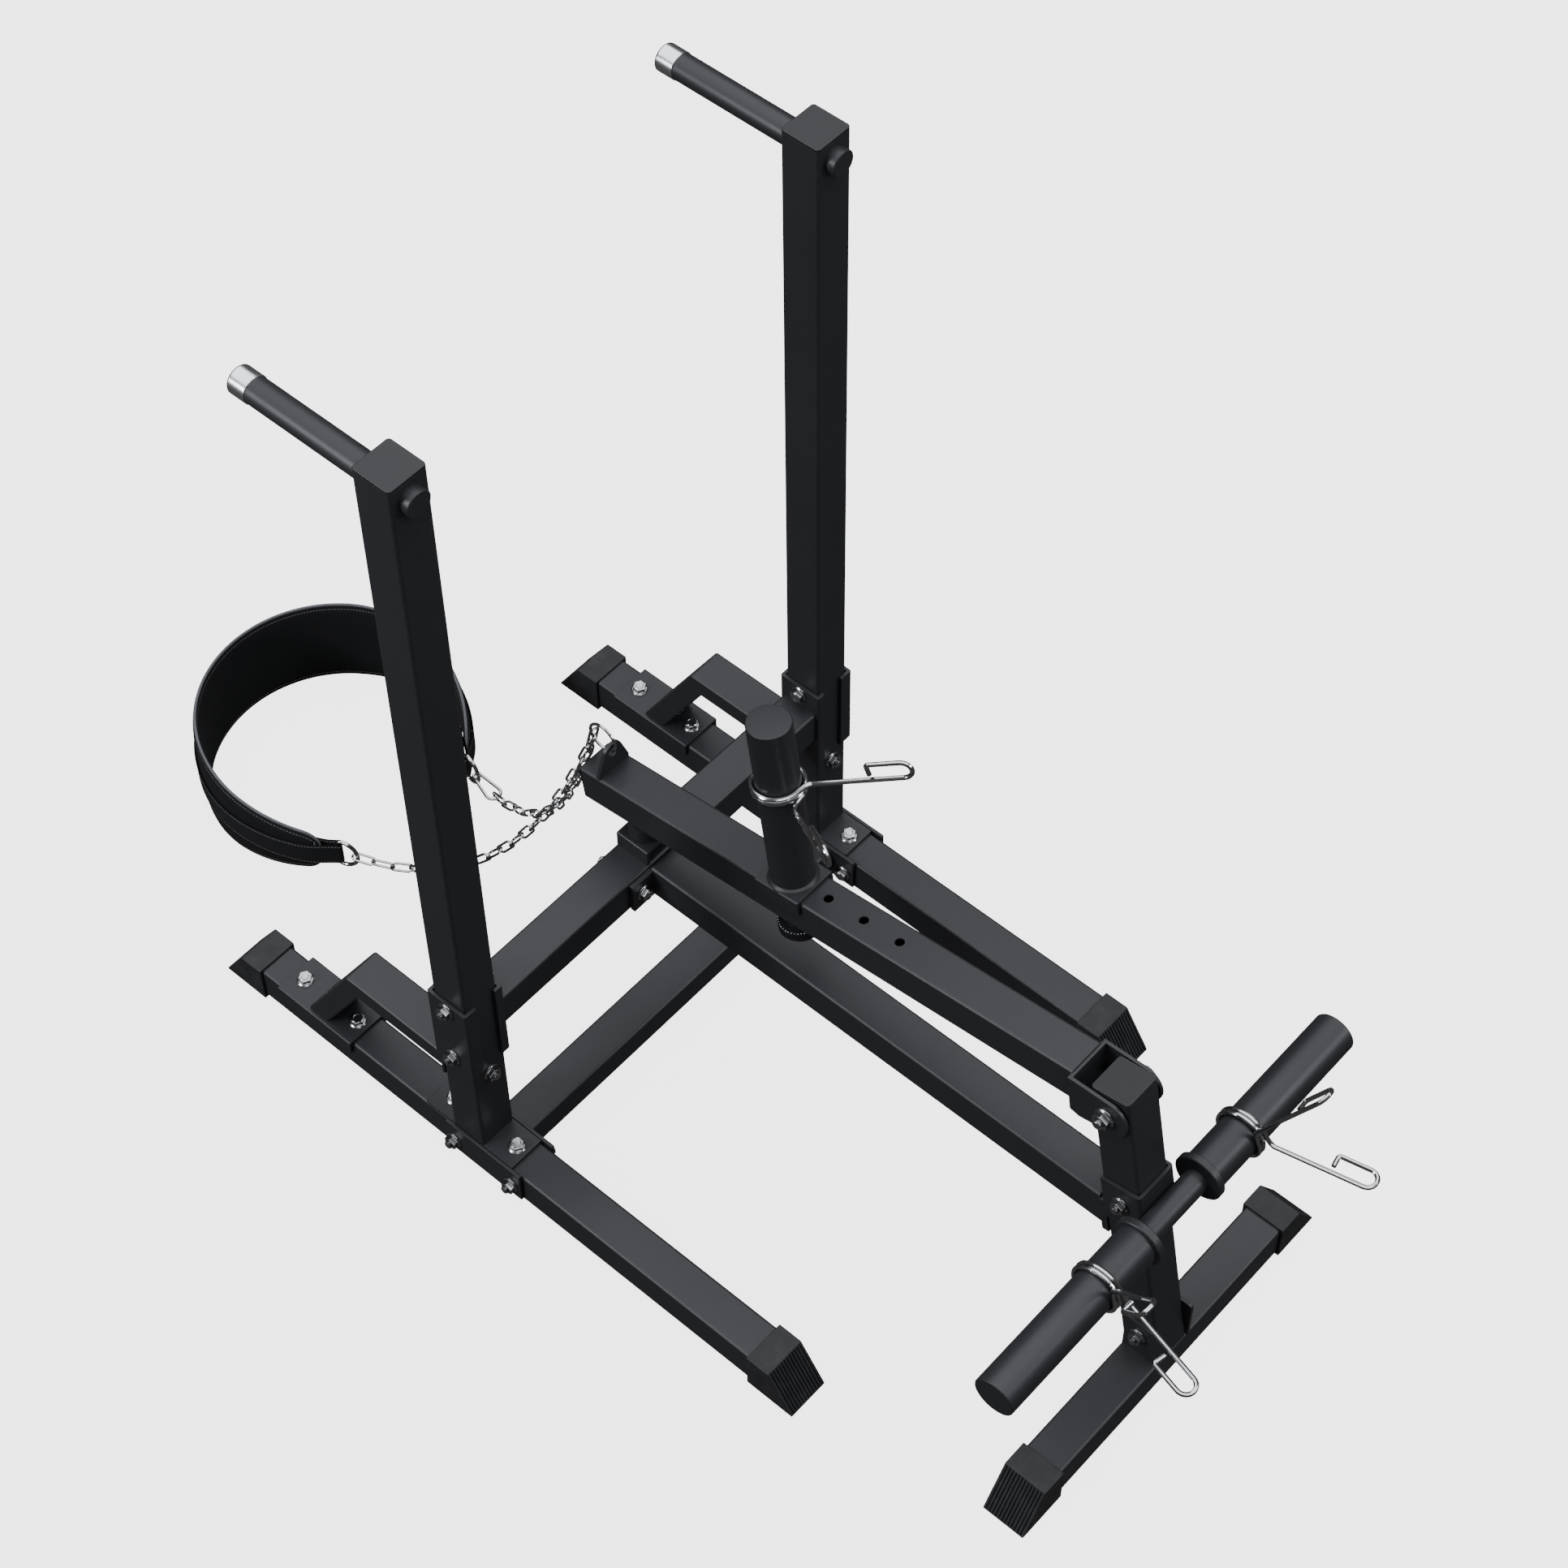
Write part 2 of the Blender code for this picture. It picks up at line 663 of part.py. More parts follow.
def build_upright(side):
    """Upright welded to its foot plate, with the handle tube through its top."""
    name = "upright_" + side_name(side)
    x = side * RAIL_X
    top = UPRIGHT_TOP - CAP_PLATE - GAP
    bottom = FOOT_PLATE_TOP - WELD
    half = HALF_TUBE - GAP
    plate = box((x - half, -FOOT_PLATE_HALF_LENGTH, RAIL_TOP + GAP),
                (x + half, FOOT_PLATE_HALF_LENGTH, FOOT_PLATE_TOP))
    pieces = [tube(top - bottom, Matrix.Translation((x, 0, bottom))), plate, handle_tube(side)]
    for y in FOOT_PLATE_BOLT_Y:
        pieces.append(bolt((x, y, FOOT_PLATE_TOP - WELD), (0, 0, -1), SHORT_BOLT))
    cutters = [bolt_hole((x, -0.05, STEP_BOLT_Z), (x, 0.05, STEP_BOLT_Z))]
    for offset in (-CLAMP_BOLT_OFFSET, CLAMP_BOLT_OFFSET):
        cutters.append(bolt_hole((x - 0.05, 0, CROSSBAR_Z + offset), (x + 0.05, 0, CROSSBAR_Z + offset)))
    finish(name, cut(name, joined(name, pieces), cutters), black_paint)


def end_cap(matrix):
    """Plastic cap that closes a square tube; local Z points out of the tube."""
    plug = HALF_TUBE - TUBE_WALL - GAP
    lid = prism(rounded_loop(HALF_TUBE, HALF_TUBE, TUBE_CORNER), GAP, GAP + CAP_PLATE)
    neck = prism(rounded_loop(plug, plug, TUBE_CORNER - TUBE_WALL + GAP), -CAP_PLUG, GAP + CAP_PLATE / 2)
    made = joined("cap", [lid, neck])
    made.transform(matrix)
    return made


def joined(name, pieces):
    """Boolean union of overlapping bodies into one."""
    result = pieces[0]
    for piece in pieces[1:]:
        first = plain_object(name + "_first", result)
        second = plain_object(name + "_second", piece)
        modifier = first.modifiers.new("join", "BOOLEAN")
        modifier.operation = "UNION"
        modifier.solver = "EXACT"
        modifier.object = second
        result = evaluated(first)
        for item in (first, second):
            bpy.data.objects.remove(item)
    return result


def build_tube_caps():
    """Plastic caps in the tops of both uprights and the rear post."""
    for side in (-1, 1):
        place = Matrix.Translation((side * RAIL_X, 0, UPRIGHT_TOP - CAP_PLATE - GAP))
        finish("upright_cap_" + side_name(side), end_cap(place), black_plastic)
    finish("rear_post_cap", end_cap(post_matrix(POST_LENGTH - CAP_PLATE - GAP)), black_plastic)


def clamp_outline():
    low = CLAMP_CENTRE_Z - CLAMP_HALF_HEIGHT
    high = CLAMP_CENTRE_Z + CLAMP_HALF_HEIGHT
    reach = SEAT + PLATE
    return [(-reach, low + CLAMP_CHAMFER), (-reach + CLAMP_CHAMFER, low),
            (reach - CLAMP_CHAMFER, low), (reach, low + CLAMP_CHAMFER), (reach, high), (-reach, high)]


def clamp_plate(side, face, inward):
    """Lipped plate that wraps one side of the upright."""
    matrix = frame_matrix((0, 0, 0), (0, 1, 0), (0, 0, 1), (1, 0, 0))
    low, high = sorted((side * face, side * (face + inward)))
    work = prism(clamp_outline(), low, high, matrix)
    x = side * RAIL_X
    work = cut("clamp", work, [box((x - SEAT, -SEAT, 0.1), (x + SEAT, SEAT, 0.5))])
    cutters = []
    for offset in (-CLAMP_BOLT_OFFSET, CLAMP_BOLT_OFFSET):
        cutters.append(bolt_hole((x - 0.05, 0, CROSSBAR_Z + offset), (x + 0.05, 0, CROSSBAR_Z + offset)))
    return cut("clamp", work, cutters)


def build_outer_clamp(side):
    work = clamp_plate(side, CLAMP_OUTER_X, -CLAMP_OUTER_LIP - PLATE)
    finish("outer_clamp_" + side_name(side), work, black_paint)


def build_crossbar():
    """Upper crossbar with its two inner clamp plates and the stop bracket."""
    reach = CLAMP_INNER_X + WELD
    bar = tube(2 * reach, along((-reach, 0, CROSSBAR_Z), (1, 0, 0)))
    pieces = [bar, stop_bracket()]
    for side in (-1, 1):
        pieces.append(clamp_plate(side, CLAMP_INNER_X, CLAMP_INNER_LIP + PLATE))
    cutters = [bolt_hole((side * SPINE_PLATE_BOLT_X, -0.05, CROSSBAR_Z),
                         (side * SPINE_PLATE_BOLT_X, 0.05, CROSSBAR_Z)) for side in (-1, 1)]
    finish("upper_crossbar", cut("upper_crossbar", joined("upper_crossbar", pieces), cutters), black_paint)


def spine_front_plate():
    low = (-SPINE_PLATE_HALF_WIDTH, SEAT, CROSSBAR_Z - HALF_TUBE + 0.001)
    high = (SPINE_PLATE_HALF_WIDTH, SEAT + SPINE_PLATE, CROSSBAR_TOP - 0.003)
    cutters = [bolt_hole((side * SPINE_PLATE_BOLT_X, -0.05, CROSSBAR_Z),
                         (side * SPINE_PLATE_BOLT_X, 0.05, CROSSBAR_Z)) for side in (-1, 1)]
    return cut("spine_front_plate", box(low, high), cutters)


def rear_block_face(height):
    """Y at which the spine ends, just inside the rear block's front face."""
    low = post_point(0, -SEAT - REAR_BLOCK + WELD, 0)
    return low.y - (height - low.z) * math.tan(POST_LEAN)


def build_spine():
    """Spine tube with its bolted front plate and the block at the rear post."""
    start = SEAT + SPINE_PLATE - WELD
    end = rear_block_face(CROSSBAR_Z)
    matrix = frame_matrix((0, start, CROSSBAR_Z), (-1, 0, 0), (0, 0, 1), (0, 1, 0))
    bar = tube(end - start, matrix, skew=(0, -math.tan(POST_LEAN)))
    work = joined("spine", [bar, spine_front_plate(), rear_block()])
    vent = hole((0, start - 0.02, CROSSBAR_Z), (0, start + 0.02, CROSSBAR_Z), VENT_RADIUS)
    finish("spine", cut("spine", work, [vent]), black_paint)


def rear_block():
    """Block between the spine's end and the rear post."""
    front = -SEAT - REAR_BLOCK
    outline = [(front, REAR_BLOCK_BOTTOM + REAR_BLOCK_CHAMFER), (-SEAT - EDGE, REAR_BLOCK_BOTTOM),
               (-SEAT, REAR_BLOCK_BOTTOM), (-SEAT, REAR_BLOCK_TOP), (front, REAR_BLOCK_TOP)]
    base = post_matrix() @ frame_matrix((0, 0, 0), (0, 1, 0), (0, 0, 1), (1, 0, 0))
    return prism(outline, -HALF_TUBE - 0.0005, HALF_TUBE + 0.0005, base)


def build_rear_post():
    start = GAP / math.cos(POST_LEAN)
    end = POST_LENGTH - CAP_PLATE - GAP
    work = tube(end - start, post_matrix(start), skew=(-math.tan(POST_LEAN), 0))
    pivot = pivot_point()
    cutters = [post_bolt_hole(POST_CLAMP_BOLT), post_bolt_hole(POST_BASE_BOLT),
               bolt_hole((-TUBE, pivot.y, pivot.z), (TUBE, pivot.y, pivot.z), PIVOT_BOLT_RADIUS)]
    finish("rear_post", cut("rear_post", work, cutters), black_paint)


def post_clamp():
    reach = SEAT + PLATE
    outline = [(-reach, POST_CLAMP_FRONT), (-SEAT, POST_CLAMP_FRONT), (-SEAT, SEAT), (SEAT, SEAT),
               (SEAT, POST_CLAMP_FRONT), (reach, POST_CLAMP_FRONT), (reach, reach), (-reach, reach)]
    work = prism(outline, POST_CLAMP_BOTTOM, POST_CLAMP_TOP, post_matrix())
    return cut("post_clamp", work, [post_bolt_hole(POST_CLAMP_BOLT)])


def post_bolt_hole(place):
    return bolt_hole(post_point(-TUBE, *place), post_point(TUBE, *place))


def post_lug(side):
    """Upright lug on the foot bar, one of two that hold the post's foot."""
    low = RAIL_TOP - WELD
    low_x, high_x = sorted((side * SEAT, side * (SEAT + PLATE)))
    return box((low_x, BAR_Y - HALF_TUBE, low), (high_x, BAR_Y + HALF_TUBE, low + POST_LUG_HEIGHT))


def storage_axis():
    return post_point(0, SEAT + PLATE + STORAGE_ROD_RADIUS - WELD, STORAGE_ALONG_POST)


def storage_sleeve(side):
    """Hollow sleeve for stored plates with its collar, closed at the outer end and vented at the collar."""
    inner = SLEEVE_RADIUS - SLEEVE_WALL
    floor = COLLAR_X + COLLAR_THICKNESS
    profile = [(0, COLLAR_X), (COLLAR_RADIUS - EDGE, COLLAR_X), (COLLAR_RADIUS, COLLAR_X + EDGE),
               (COLLAR_RADIUS, COLLAR_X + COLLAR_THICKNESS - EDGE),
               (COLLAR_RADIUS - EDGE, COLLAR_X + COLLAR_THICKNESS),
               (SLEEVE_RADIUS, COLLAR_X + COLLAR_THICKNESS), (SLEEVE_RADIUS, SLEEVE_END_X - EDGE),
               (SLEEVE_RADIUS - EDGE, SLEEVE_END_X), (0, SLEEVE_END_X)]
    shell = turned(profile, along(storage_axis(), (side, 0, 0)), SLEEVE_STEPS)
    bore = hole(storage_axis() + Vector((side * floor, 0, 0)),
                storage_axis() + Vector((side * (SLEEVE_END_X - SLEEVE_WALL), 0, 0)), inner, SLEEVE_STEPS)
    below = storage_axis() - Vector((0, 0, (inner + STORAGE_ROD_RADIUS) / 2))
    vent = hole(below, below + Vector((side * (floor + VENT_RADIUS), 0, 0)), VENT_RADIUS / 2)
    return cut("storage_sleeve", cut("storage_sleeve", shell, [bore]), [vent])


def build_storage():
    """Post clamp with the storage bar welded across its back."""
    reach = COLLAR_X + WELD
    profile = [(0, -reach), (STORAGE_ROD_RADIUS, -reach), (STORAGE_ROD_RADIUS, reach), (0, reach)]
    rod = turned(profile, along(storage_axis(), (1, 0, 0)), SLEEVE_STEPS)
    pieces = [post_clamp(), rod, storage_sleeve(-1), storage_sleeve(1)]
    finish("storage_bar", joined("storage_bar", pieces), black_paint)


def handle_tube(side):
    start = (side * RAIL_X, HANDLE_REAR, HANDLE_Z)
    length = HANDLE_REAR - HANDLE_FRONT
    inner = HANDLE_RADIUS - HANDLE_WALL
    profile = [(0, 0), (HANDLE_RADIUS - EDGE, 0), (HANDLE_RADIUS, EDGE), (HANDLE_RADIUS, length),
               (inner, length), (inner, HANDLE_WALL), (0, HANDLE_WALL)]
    return turned(profile, along(start, (0, -1, 0)), SLEEVE_STEPS)


def build_handle_cap(side):
    start = (side * RAIL_X, HANDLE_FRONT - GAP, HANDLE_Z)
    plug = HANDLE_RADIUS - HANDLE_WALL - GAP
    crown = 0.0025
    profile = [(0, -CAP_PLUG), (plug, -CAP_PLUG), (plug, 0), (HANDLE_CAP_RADIUS, 0),
               (HANDLE_CAP_RADIUS, HANDLE_CAP_LENGTH - crown),
               (HANDLE_CAP_RADIUS - crown * 0.3, HANDLE_CAP_LENGTH - crown * 0.3),
               (HANDLE_CAP_RADIUS - crown, HANDLE_CAP_LENGTH), (0, HANDLE_CAP_LENGTH)]
    finish("handle_cap_" + side_name(side), turned(profile, along(start, (0, -1, 0)), SLEEVE_STEPS), chrome)


def step_outline(inset, overrun):
    """Side view of the bent step tube; a positive inset gives the bore."""
    slope = math.tan(STEP_LEG_LEAN)
    shift = inset / math.cos(STEP_LEG_LEAN)
    width = STEP_TUBE_HEIGHT / math.cos(STEP_LEG_LEAN)
    bottom = FOOT_PLATE_TOP
    low = bottom - overrun if overrun else bottom - WELD
    top = STEP_BEAM_TOP - inset
    under = STEP_BEAM_TOP - STEP_TUBE_HEIGHT + inset
    end = STEP_PLATE_FRONT + WELD

    def leg(offset, height):
        return STEP_LEG_FRONT + offset + (height - bottom) * slope

    return [(leg(shift, low), low), (leg(width - shift, low), low), (leg(width - shift, under), under),
            (end, under), (end, top), (leg(shift, top), top)]


def step_tube(side):
    x = side * RAIL_X
    matrix = frame_matrix((x, 0, 0), (0, 1, 0), (0, 0, 1), (1, 0, 0))
    bore = HALF_TUBE - TUBE_WALL
    shell = prism(step_outline(0, 0), -HALF_TUBE, HALF_TUBE, matrix)
    return cut("step_tube", shell, [prism(step_outline(TUBE_WALL, STEP_OVERRUN), -bore, bore, matrix)])


def step_end_plate(side):
    x = side * RAIL_X
    plate = box((x - HALF_TUBE - 0.0005, STEP_PLATE_FRONT, STEP_PLATE_BOTTOM),
                (x + HALF_TUBE + 0.0005, -SEAT, STEP_BEAM_TOP + 0.0005))
    return cut("step_end_plate", plate, [bolt_hole((x, -0.05, STEP_BOLT_Z), (x, 0.05, STEP_BOLT_Z))])


def step_saddle(side):
    matrix = frame_matrix((side * RAIL_X, 0, RAIL_TOP + GAP), (-1, 0, 0), (0, 0, 1), (0, 1, 0))
    return channel(SEAT, PLATE, STEP_SADDLE_FLAP, STEP_SADDLE_Y, matrix)


def build_step(side):
    """Bent step tube welded to its saddle on the rail and its plate on the upright."""
    name = "step_frame_" + side_name(side)
    pieces = [step_tube(side), step_end_plate(side), step_saddle(side)]
    for y in STEP_SADDLE_BOLT_Y:
        pieces.append(bolt((side * RAIL_X, y, FOOT_PLATE_TOP - WELD), (0, 0, -1), SHORT_BOLT))
    finish(name, joined(name, pieces), black_paint)


def channel(half_inside, wall, flap, span, matrix):
    """Inverted channel: local X across, local Y up from its seat, local Z along it."""
    reach = half_inside + wall
    outline = [(-reach, -flap), (-half_inside, -flap), (-half_inside, 0), (half_inside, 0),
               (half_inside, -flap), (reach, -flap), (reach, wall), (-reach, wall)]
    return prism(outline, span[0], span[1], matrix)


def stop_bracket():
    """Inverted channel on the crossbar that carries the lever's stop."""
    seat = HAT_TOP - HAT_WALL
    matrix = frame_matrix((0, 0, seat), (-1, 0, 0), (0, 0, 1), (0, 1, 0))
    return channel(HALF_TUBE - HAT_WALL, HAT_WALL, seat - CROSSBAR_TOP + WELD,
                   (-HAT_HALF_LENGTH, HAT_HALF_LENGTH), matrix)


def build_bumper():
    """Rubber stop whose top is cut parallel to the resting lever."""
    low = HAT_TOP + GAP
    reach = BUMPER_Y - LEVER_FRONT_Y
    high = LEVER_FRONT_TOP_Z + (reach * math.sin(LEVER_TILT) - TUBE - GAP) / math.cos(LEVER_TILT)
    edge = 0.0015
    profile = [(0, 0), (BUMPER_RADIUS - edge, 0), (BUMPER_RADIUS, edge), (BUMPER_RADIUS, high - low - edge),
               (BUMPER_RADIUS - edge, high - low), (0, high - low)]
    work = turned(profile, Matrix.Identity(4), SLEEVE_STEPS)
    for corner in work.verts:
        if corner.co.z > (high - low) / 2:
            corner.co.z += corner.co.y * math.tan(LEVER_TILT)
    work.transform(Matrix.Translation((0, BUMPER_Y, low)))
    finish("bumper", work, rubber)


def build_lever():
    """Lever tube, closed at its front, with its ear and pivot bracket; joined before it is tilted."""
    tilt = lever_matrix()
    ear = lever_ear()
    ear.transform(tilt.inverted())
    holes = [hole((0, TUBE_WALL, s), (0, -TUBE - TUBE_WALL, s), LEVER_HOLE_RADIUS) for s in LEVER_HOLES]
    work = cut("lever_arm", joined("lever_arm", [lever_bar(), ear, pivot_bracket()]), holes)
    work.transform(tilt)
    finish("lever_arm", work, black_paint, pivot_point())


def lever_bar():
    """Lever tube in the lever's own frame, with a front wall as thick as its lid."""
    length = LEVER_LENGTH + WELD
    bore = HALF_TUBE - TUBE_WALL
    centre = Matrix.Translation((0, -HALF_TUBE, 0))
    outer = prism(rounded_loop(HALF_TUBE, HALF_TUBE, TUBE_CORNER), 0, length, centre)
    inner = rounded_loop(bore, bore, TUBE_CORNER - TUBE_WALL)
    return cut("lever_bar", outer, [prism(inner, LEVER_LID, length + TUBE_WALL, centre)])


def lever_ear():
    """Rounded lug across the lever, with the hole for the chain link."""
    base = lever_point((EAR_Y - LEVER_FRONT_Y) / math.cos(LEVER_TILT), 0).z - 0.001
    shoulder = base + 0.005
    outline = [(-EAR_HALF_WIDTH, base), (EAR_HALF_WIDTH, base), (EAR_HALF_WIDTH, shoulder)]
    rise = math.radians(24)
    for step in range(9):
        angle = rise + (math.pi - 2 * rise) * step / 8
        outline.append((EAR_TOP_RADIUS * math.cos(angle), EAR_HOLE_Z + EAR_TOP_RADIUS * math.sin(angle)))
    outline.append((-EAR_HALF_WIDTH, shoulder))
    matrix = frame_matrix((0, EAR_Y, 0), (-1, 0, 0), (0, 0, 1), (0, 1, 0))
    work = prism(outline, -EAR_THICKNESS / 2, EAR_THICKNESS / 2, matrix)
    cutter = hole((0, EAR_Y - 0.02, EAR_HOLE_Z), (0, EAR_Y + 0.02, EAR_HOLE_Z), EAR_HOLE_RADIUS, 16)
    return cut("lever_ear", work, [cutter])


def pivot_bracket():
    """Cross plate on the lever's end with two walls beside the rear post, in the lever's frame."""
    wall_in = HALF_TUBE + PIVOT_SIDE_PLAY
    wall_out = wall_in + PIVOT_WALL
    start = LEVER_LENGTH
    plate_end = start + PIVOT_CROSS_PLATE
    eye = (PIVOT_ALONG, -PIVOT_DROP)
    outline = [(start, -0.002), (start, -0.056), (start + 0.012, -0.0605)]
    for step in range(11):
        angle = math.radians(-112 + 17.6 * step)
        outline.append((eye[0] + PIVOT_EYE_RADIUS * math.cos(angle),
                        eye[1] + PIVOT_EYE_RADIUS * math.sin(angle)))
    base = frame_matrix((0, 0, 0), (0, 0, 1), (0, 1, 0), (-1, 0, 0))
    shell = prism(outline, -wall_out, wall_out, base)
    room = box((plate_end, -0.1, -wall_in), (plate_end + 0.2, 0.1, wall_in), bevel=0, matrix=base)
    work = cut("pivot_bracket", shell, [room])
    cutter = bolt_hole((-TUBE, -PIVOT_DROP, PIVOT_ALONG), (TUBE, -PIVOT_DROP, PIVOT_ALONG),
                       PIVOT_BOLT_RADIUS)
    return cut("pivot_bracket", work, [cutter])


def build_pivot_bolt():
    reach = HALF_TUBE + PIVOT_SIDE_PLAY + PIVOT_WALL
    work = cross_bolt(pivot_point(-reach), pivot_point(reach), PIVOT_BOLT_RADIUS)
    finish("pivot_bolt", work, zinc)
    bore = PIVOT_BOLT_RADIUS + HOLE_CLEARANCE
    start = HALF_TUBE + (PIVOT_SIDE_PLAY - BUSH_THICKNESS) / 2
    profile = [(bore, 0), (BUSH_RADIUS, 0), (BUSH_RADIUS, BUSH_THICKNESS), (bore, BUSH_THICKNESS)]
    for side in (-1, 1):
        work = turned(profile, along(pivot_point(side * start), (side, 0, 0)), SLEEVE_STEPS)
        finish("pivot_bush_" + side_name(side), work, nylon)


def load_axis(height):
    return lever_point(LEVER_HOLES[0], height)


def build_weight_carriage():
    """Saddle that sits on the lever, with the loading post welded on it."""
    base = lever_matrix(LEVER_HOLES[0], GAP)
    saddle = channel(SEAT, PLATE, SADDLE_FLAP, (-SADDLE_HALF_LENGTH, SADDLE_HALF_LENGTH), base)
    low = PLATE + GAP - WELD
    bore = SLEEVE_RADIUS - SLEEVE_WALL
    profile = [(0, LOAD_POST_TOP), (SLEEVE_RADIUS - EDGE, LOAD_POST_TOP),
               (SLEEVE_RADIUS, LOAD_POST_TOP - EDGE), (SLEEVE_RADIUS, low + WELD_HEIGHT),
               (WELD_RADIUS, low + WELD_HEIGHT / 3), (WELD_RADIUS, low), (bore, low),
               (bore, LOAD_POST_TOP - SLEEVE_WALL), (0, LOAD_POST_TOP - SLEEVE_WALL)]
    post = turned(profile, along(load_axis(0), lever_normal()), SLEEVE_STEPS)
    cutter = hole(load_axis(SADDLE_FLAP), load_axis(-SADDLE_FLAP), LEVER_HOLE_RADIUS)
    work = cut("weight_post", joined("weight_post", [saddle, post]), [cutter])
    finish("weight_post", work, black_paint, load_axis(0))


def build_knob():
    top = -TUBE - GAP
    under = top - KNOB_HUB_LENGTH
    edge = KNOB_EDGE
    low = under - KNOB_THICKNESS
    profile = [(0, STUD_TOP), (STUD_RADIUS - EDGE, STUD_TOP), (STUD_RADIUS, STUD_TOP - EDGE),
               (STUD_RADIUS, top), (KNOB_HUB_RADIUS, top), (KNOB_HUB_RADIUS, under),
               (KNOB_RADIUS - edge, under), (KNOB_RADIUS, under - edge), (KNOB_RADIUS, low + edge),
               (KNOB_RADIUS - edge, low), (0, low)]
    work = turned(profile, along(load_axis(0), lever_normal()), SLEEVE_STEPS)
    finish("saddle_knob", work, black_plastic, load_axis(-TUBE))


def clip_points():
    """Centre line of a spring clip about local Z: arm, coil of full turns, arm.

    The arms point along local Y, spread to both sides and lean towards local Z,
    and each ends in a loop that stands up along local Z.
    """
    radius = SLEEVE_RADIUS + CLIP_COIL_CLEARANCE + CLIP_WIRE
    pitch = 2 * CLIP_WIRE + CLIP_TURN_GAP
    half = pitch * CLIP_TURNS / 2
    coil = []
    steps = 16 * CLIP_TURNS
    for step in range(steps + 1):
        part = step / steps
        angle = math.pi / 2 + math.tau * CLIP_TURNS * part
        coil.append(Vector((radius * math.cos(angle), radius * math.sin(angle), half * (2 * part - 1))))
    first = clip_arm(1, -half, radius)
    last = clip_arm(-1, half, radius)
    return list(reversed(first)) + coil + last


def clip_arm(side, level, radius):
    """Points from the coil's end out along one arm and round its loop."""
    lead = Vector((side * 0.008, radius + 0.0012, level))
    elbow = Vector((side * 0.0165, radius + 0.0065, level))
    flat = Vector((side * math.sin(CLIP_ARM_SPREAD), math.cos(CLIP_ARM_SPREAD), 0))
    outward = flat * math.cos(CLIP_ARM_LEAN) + Vector((0, 0, math.sin(CLIP_ARM_LEAN)))
    up = Vector((0, 0, math.cos(CLIP_ARM_LEAN))) - flat * math.sin(CLIP_ARM_LEAN)
    points = [lead, elbow - flat * 0.0035 - Vector((side * 0.0015, 0, 0)), elbow]
    bend = CLIP_LOOP_WIDTH / 2
    far = elbow + outward * (CLIP_ARM - bend)
    for step in range(9):
        angle = -math.pi / 2 + math.pi * step / 8
        points.append(far + outward * bend * math.cos(angle) + up * (bend + bend * math.sin(angle)))
    back = far + up * CLIP_LOOP_WIDTH - outward * CLIP_LOOP_RETURN
    points.append(back)
    points.append(back - outward * CLIP_END_REACH - up * CLIP_END_DROP)
    return points


def build_clip(name, matrix, origin):
    points = clip_points()
    nearest = min((a - b).length for i, a in enumerate(points) for j, b in enumerate(points)
                  if j - i > 8) - 2 * CLIP_WIRE
    print(name, "least gap to itself", round(nearest * 1000, 2), "mm")
    work = wire(name, points, CLIP_WIRE)
    work.transform(matrix)
    finish(name, work, bright_steel, origin)


def build_clips():
    normal = lever_normal()
    centre = load_axis(POST_CLIP_HEIGHT)
    facing = Matrix.Rotation(POST_CLIP_TURN, 4, "Z")
    base = frame_matrix(centre, (1, 0, 0), lever_direction(), normal) @ facing
    build_clip("post_clip", base, centre)
    for side in (-1, 1):
        centre = storage_axis() + Vector((side * STORAGE_CLIP_X, 0, 0))
        aim = STORAGE_CLIP_TURN[side_name(side)]
        toward = Vector((0, math.cos(aim), math.sin(aim)))
        across = toward.cross(Vector((side, 0, 0)))
        base = frame_matrix(centre, across, toward, (side, 0, 0))
        build_clip("storage_clip_" + side_name(side), base, centre)


def belt_place(part, outward=0.0):
    """Plan position on the belt: part runs from 0 at the left end to 1 at the right end."""
    angle = BELT_START - BELT_SWEEP * part
    near = abs(2 * part - 1)
    flare = BELT_FLARE * max(0.0, (near - 0.7) / 0.3) ** 2
    radius = BELT_RADIUS + flare + outward
    return Vector((BELT_CENTRE[0] + radius * math.cos(angle), BELT_CENTRE[1] + radius * math.sin(angle), 0))


def belt_height(part):
    near = abs(2 * part - 1)
    drop = max(0.0, (near - 0.35) / 0.65)
    return BELT_BACK_HEIGHT - (BELT_BACK_HEIGHT - BELT_END_HEIGHT) * drop ** 1.6


def belt_section(part, shrink):
    """Ring of points round the belt at one place; shrink rounds off the ends."""
    half = belt_height(part) / 2 * shrink
    thick = BELT_THICKNESS / 2
    inner = belt_place(part, -thick)
    outer = belt_place(part, thick)
    ring = []
    for share, level in ((0.0, 0.72), (0.22, 1.0), (0.78, 1.0), (1.0, 0.72),
                         (1.0, -0.72), (0.78, -1.0), (0.22, -1.0), (0.0, -0.72)):
        spot = inner.lerp(outer, share)
        height = level * half if abs(level) == 1.0 else math.copysign(half - thick * 0.6, level)
        ring.append(Vector((spot.x, spot.y, BELT_MID_Z + height)))
    return ring


def swept(sections):
    """Closed solid through a row of equal rings, capped at both ends."""
    work = bmesh.new()
    rings = [[work.verts.new(point) for point in ring] for ring in sections]
    count = len(rings[0])
    for first, second in zip(rings, rings[1:]):
        for step in range(count):
            following = (step + 1) % count
            work.faces.new((first[step], first[following], second[following], second[step]))
    work.faces.new(rings[0])
    work.faces.new(list(reversed(rings[-1])))
    return work


def build_belt():
    steps = 56
    parts = [0.0, 0.006] + [0.02 + 0.96 * step / steps for step in range(steps + 1)] + [0.994, 1.0]
    sections = []
    for part in parts:
        near = min(part, 1 - part)
        shrink = 0.62 if near == 0 else (0.86 if near < 0.01 else 1.0)
        sections.append(belt_section(part, shrink))
    finish("belt_pad", swept(sections), woven, hang_point())


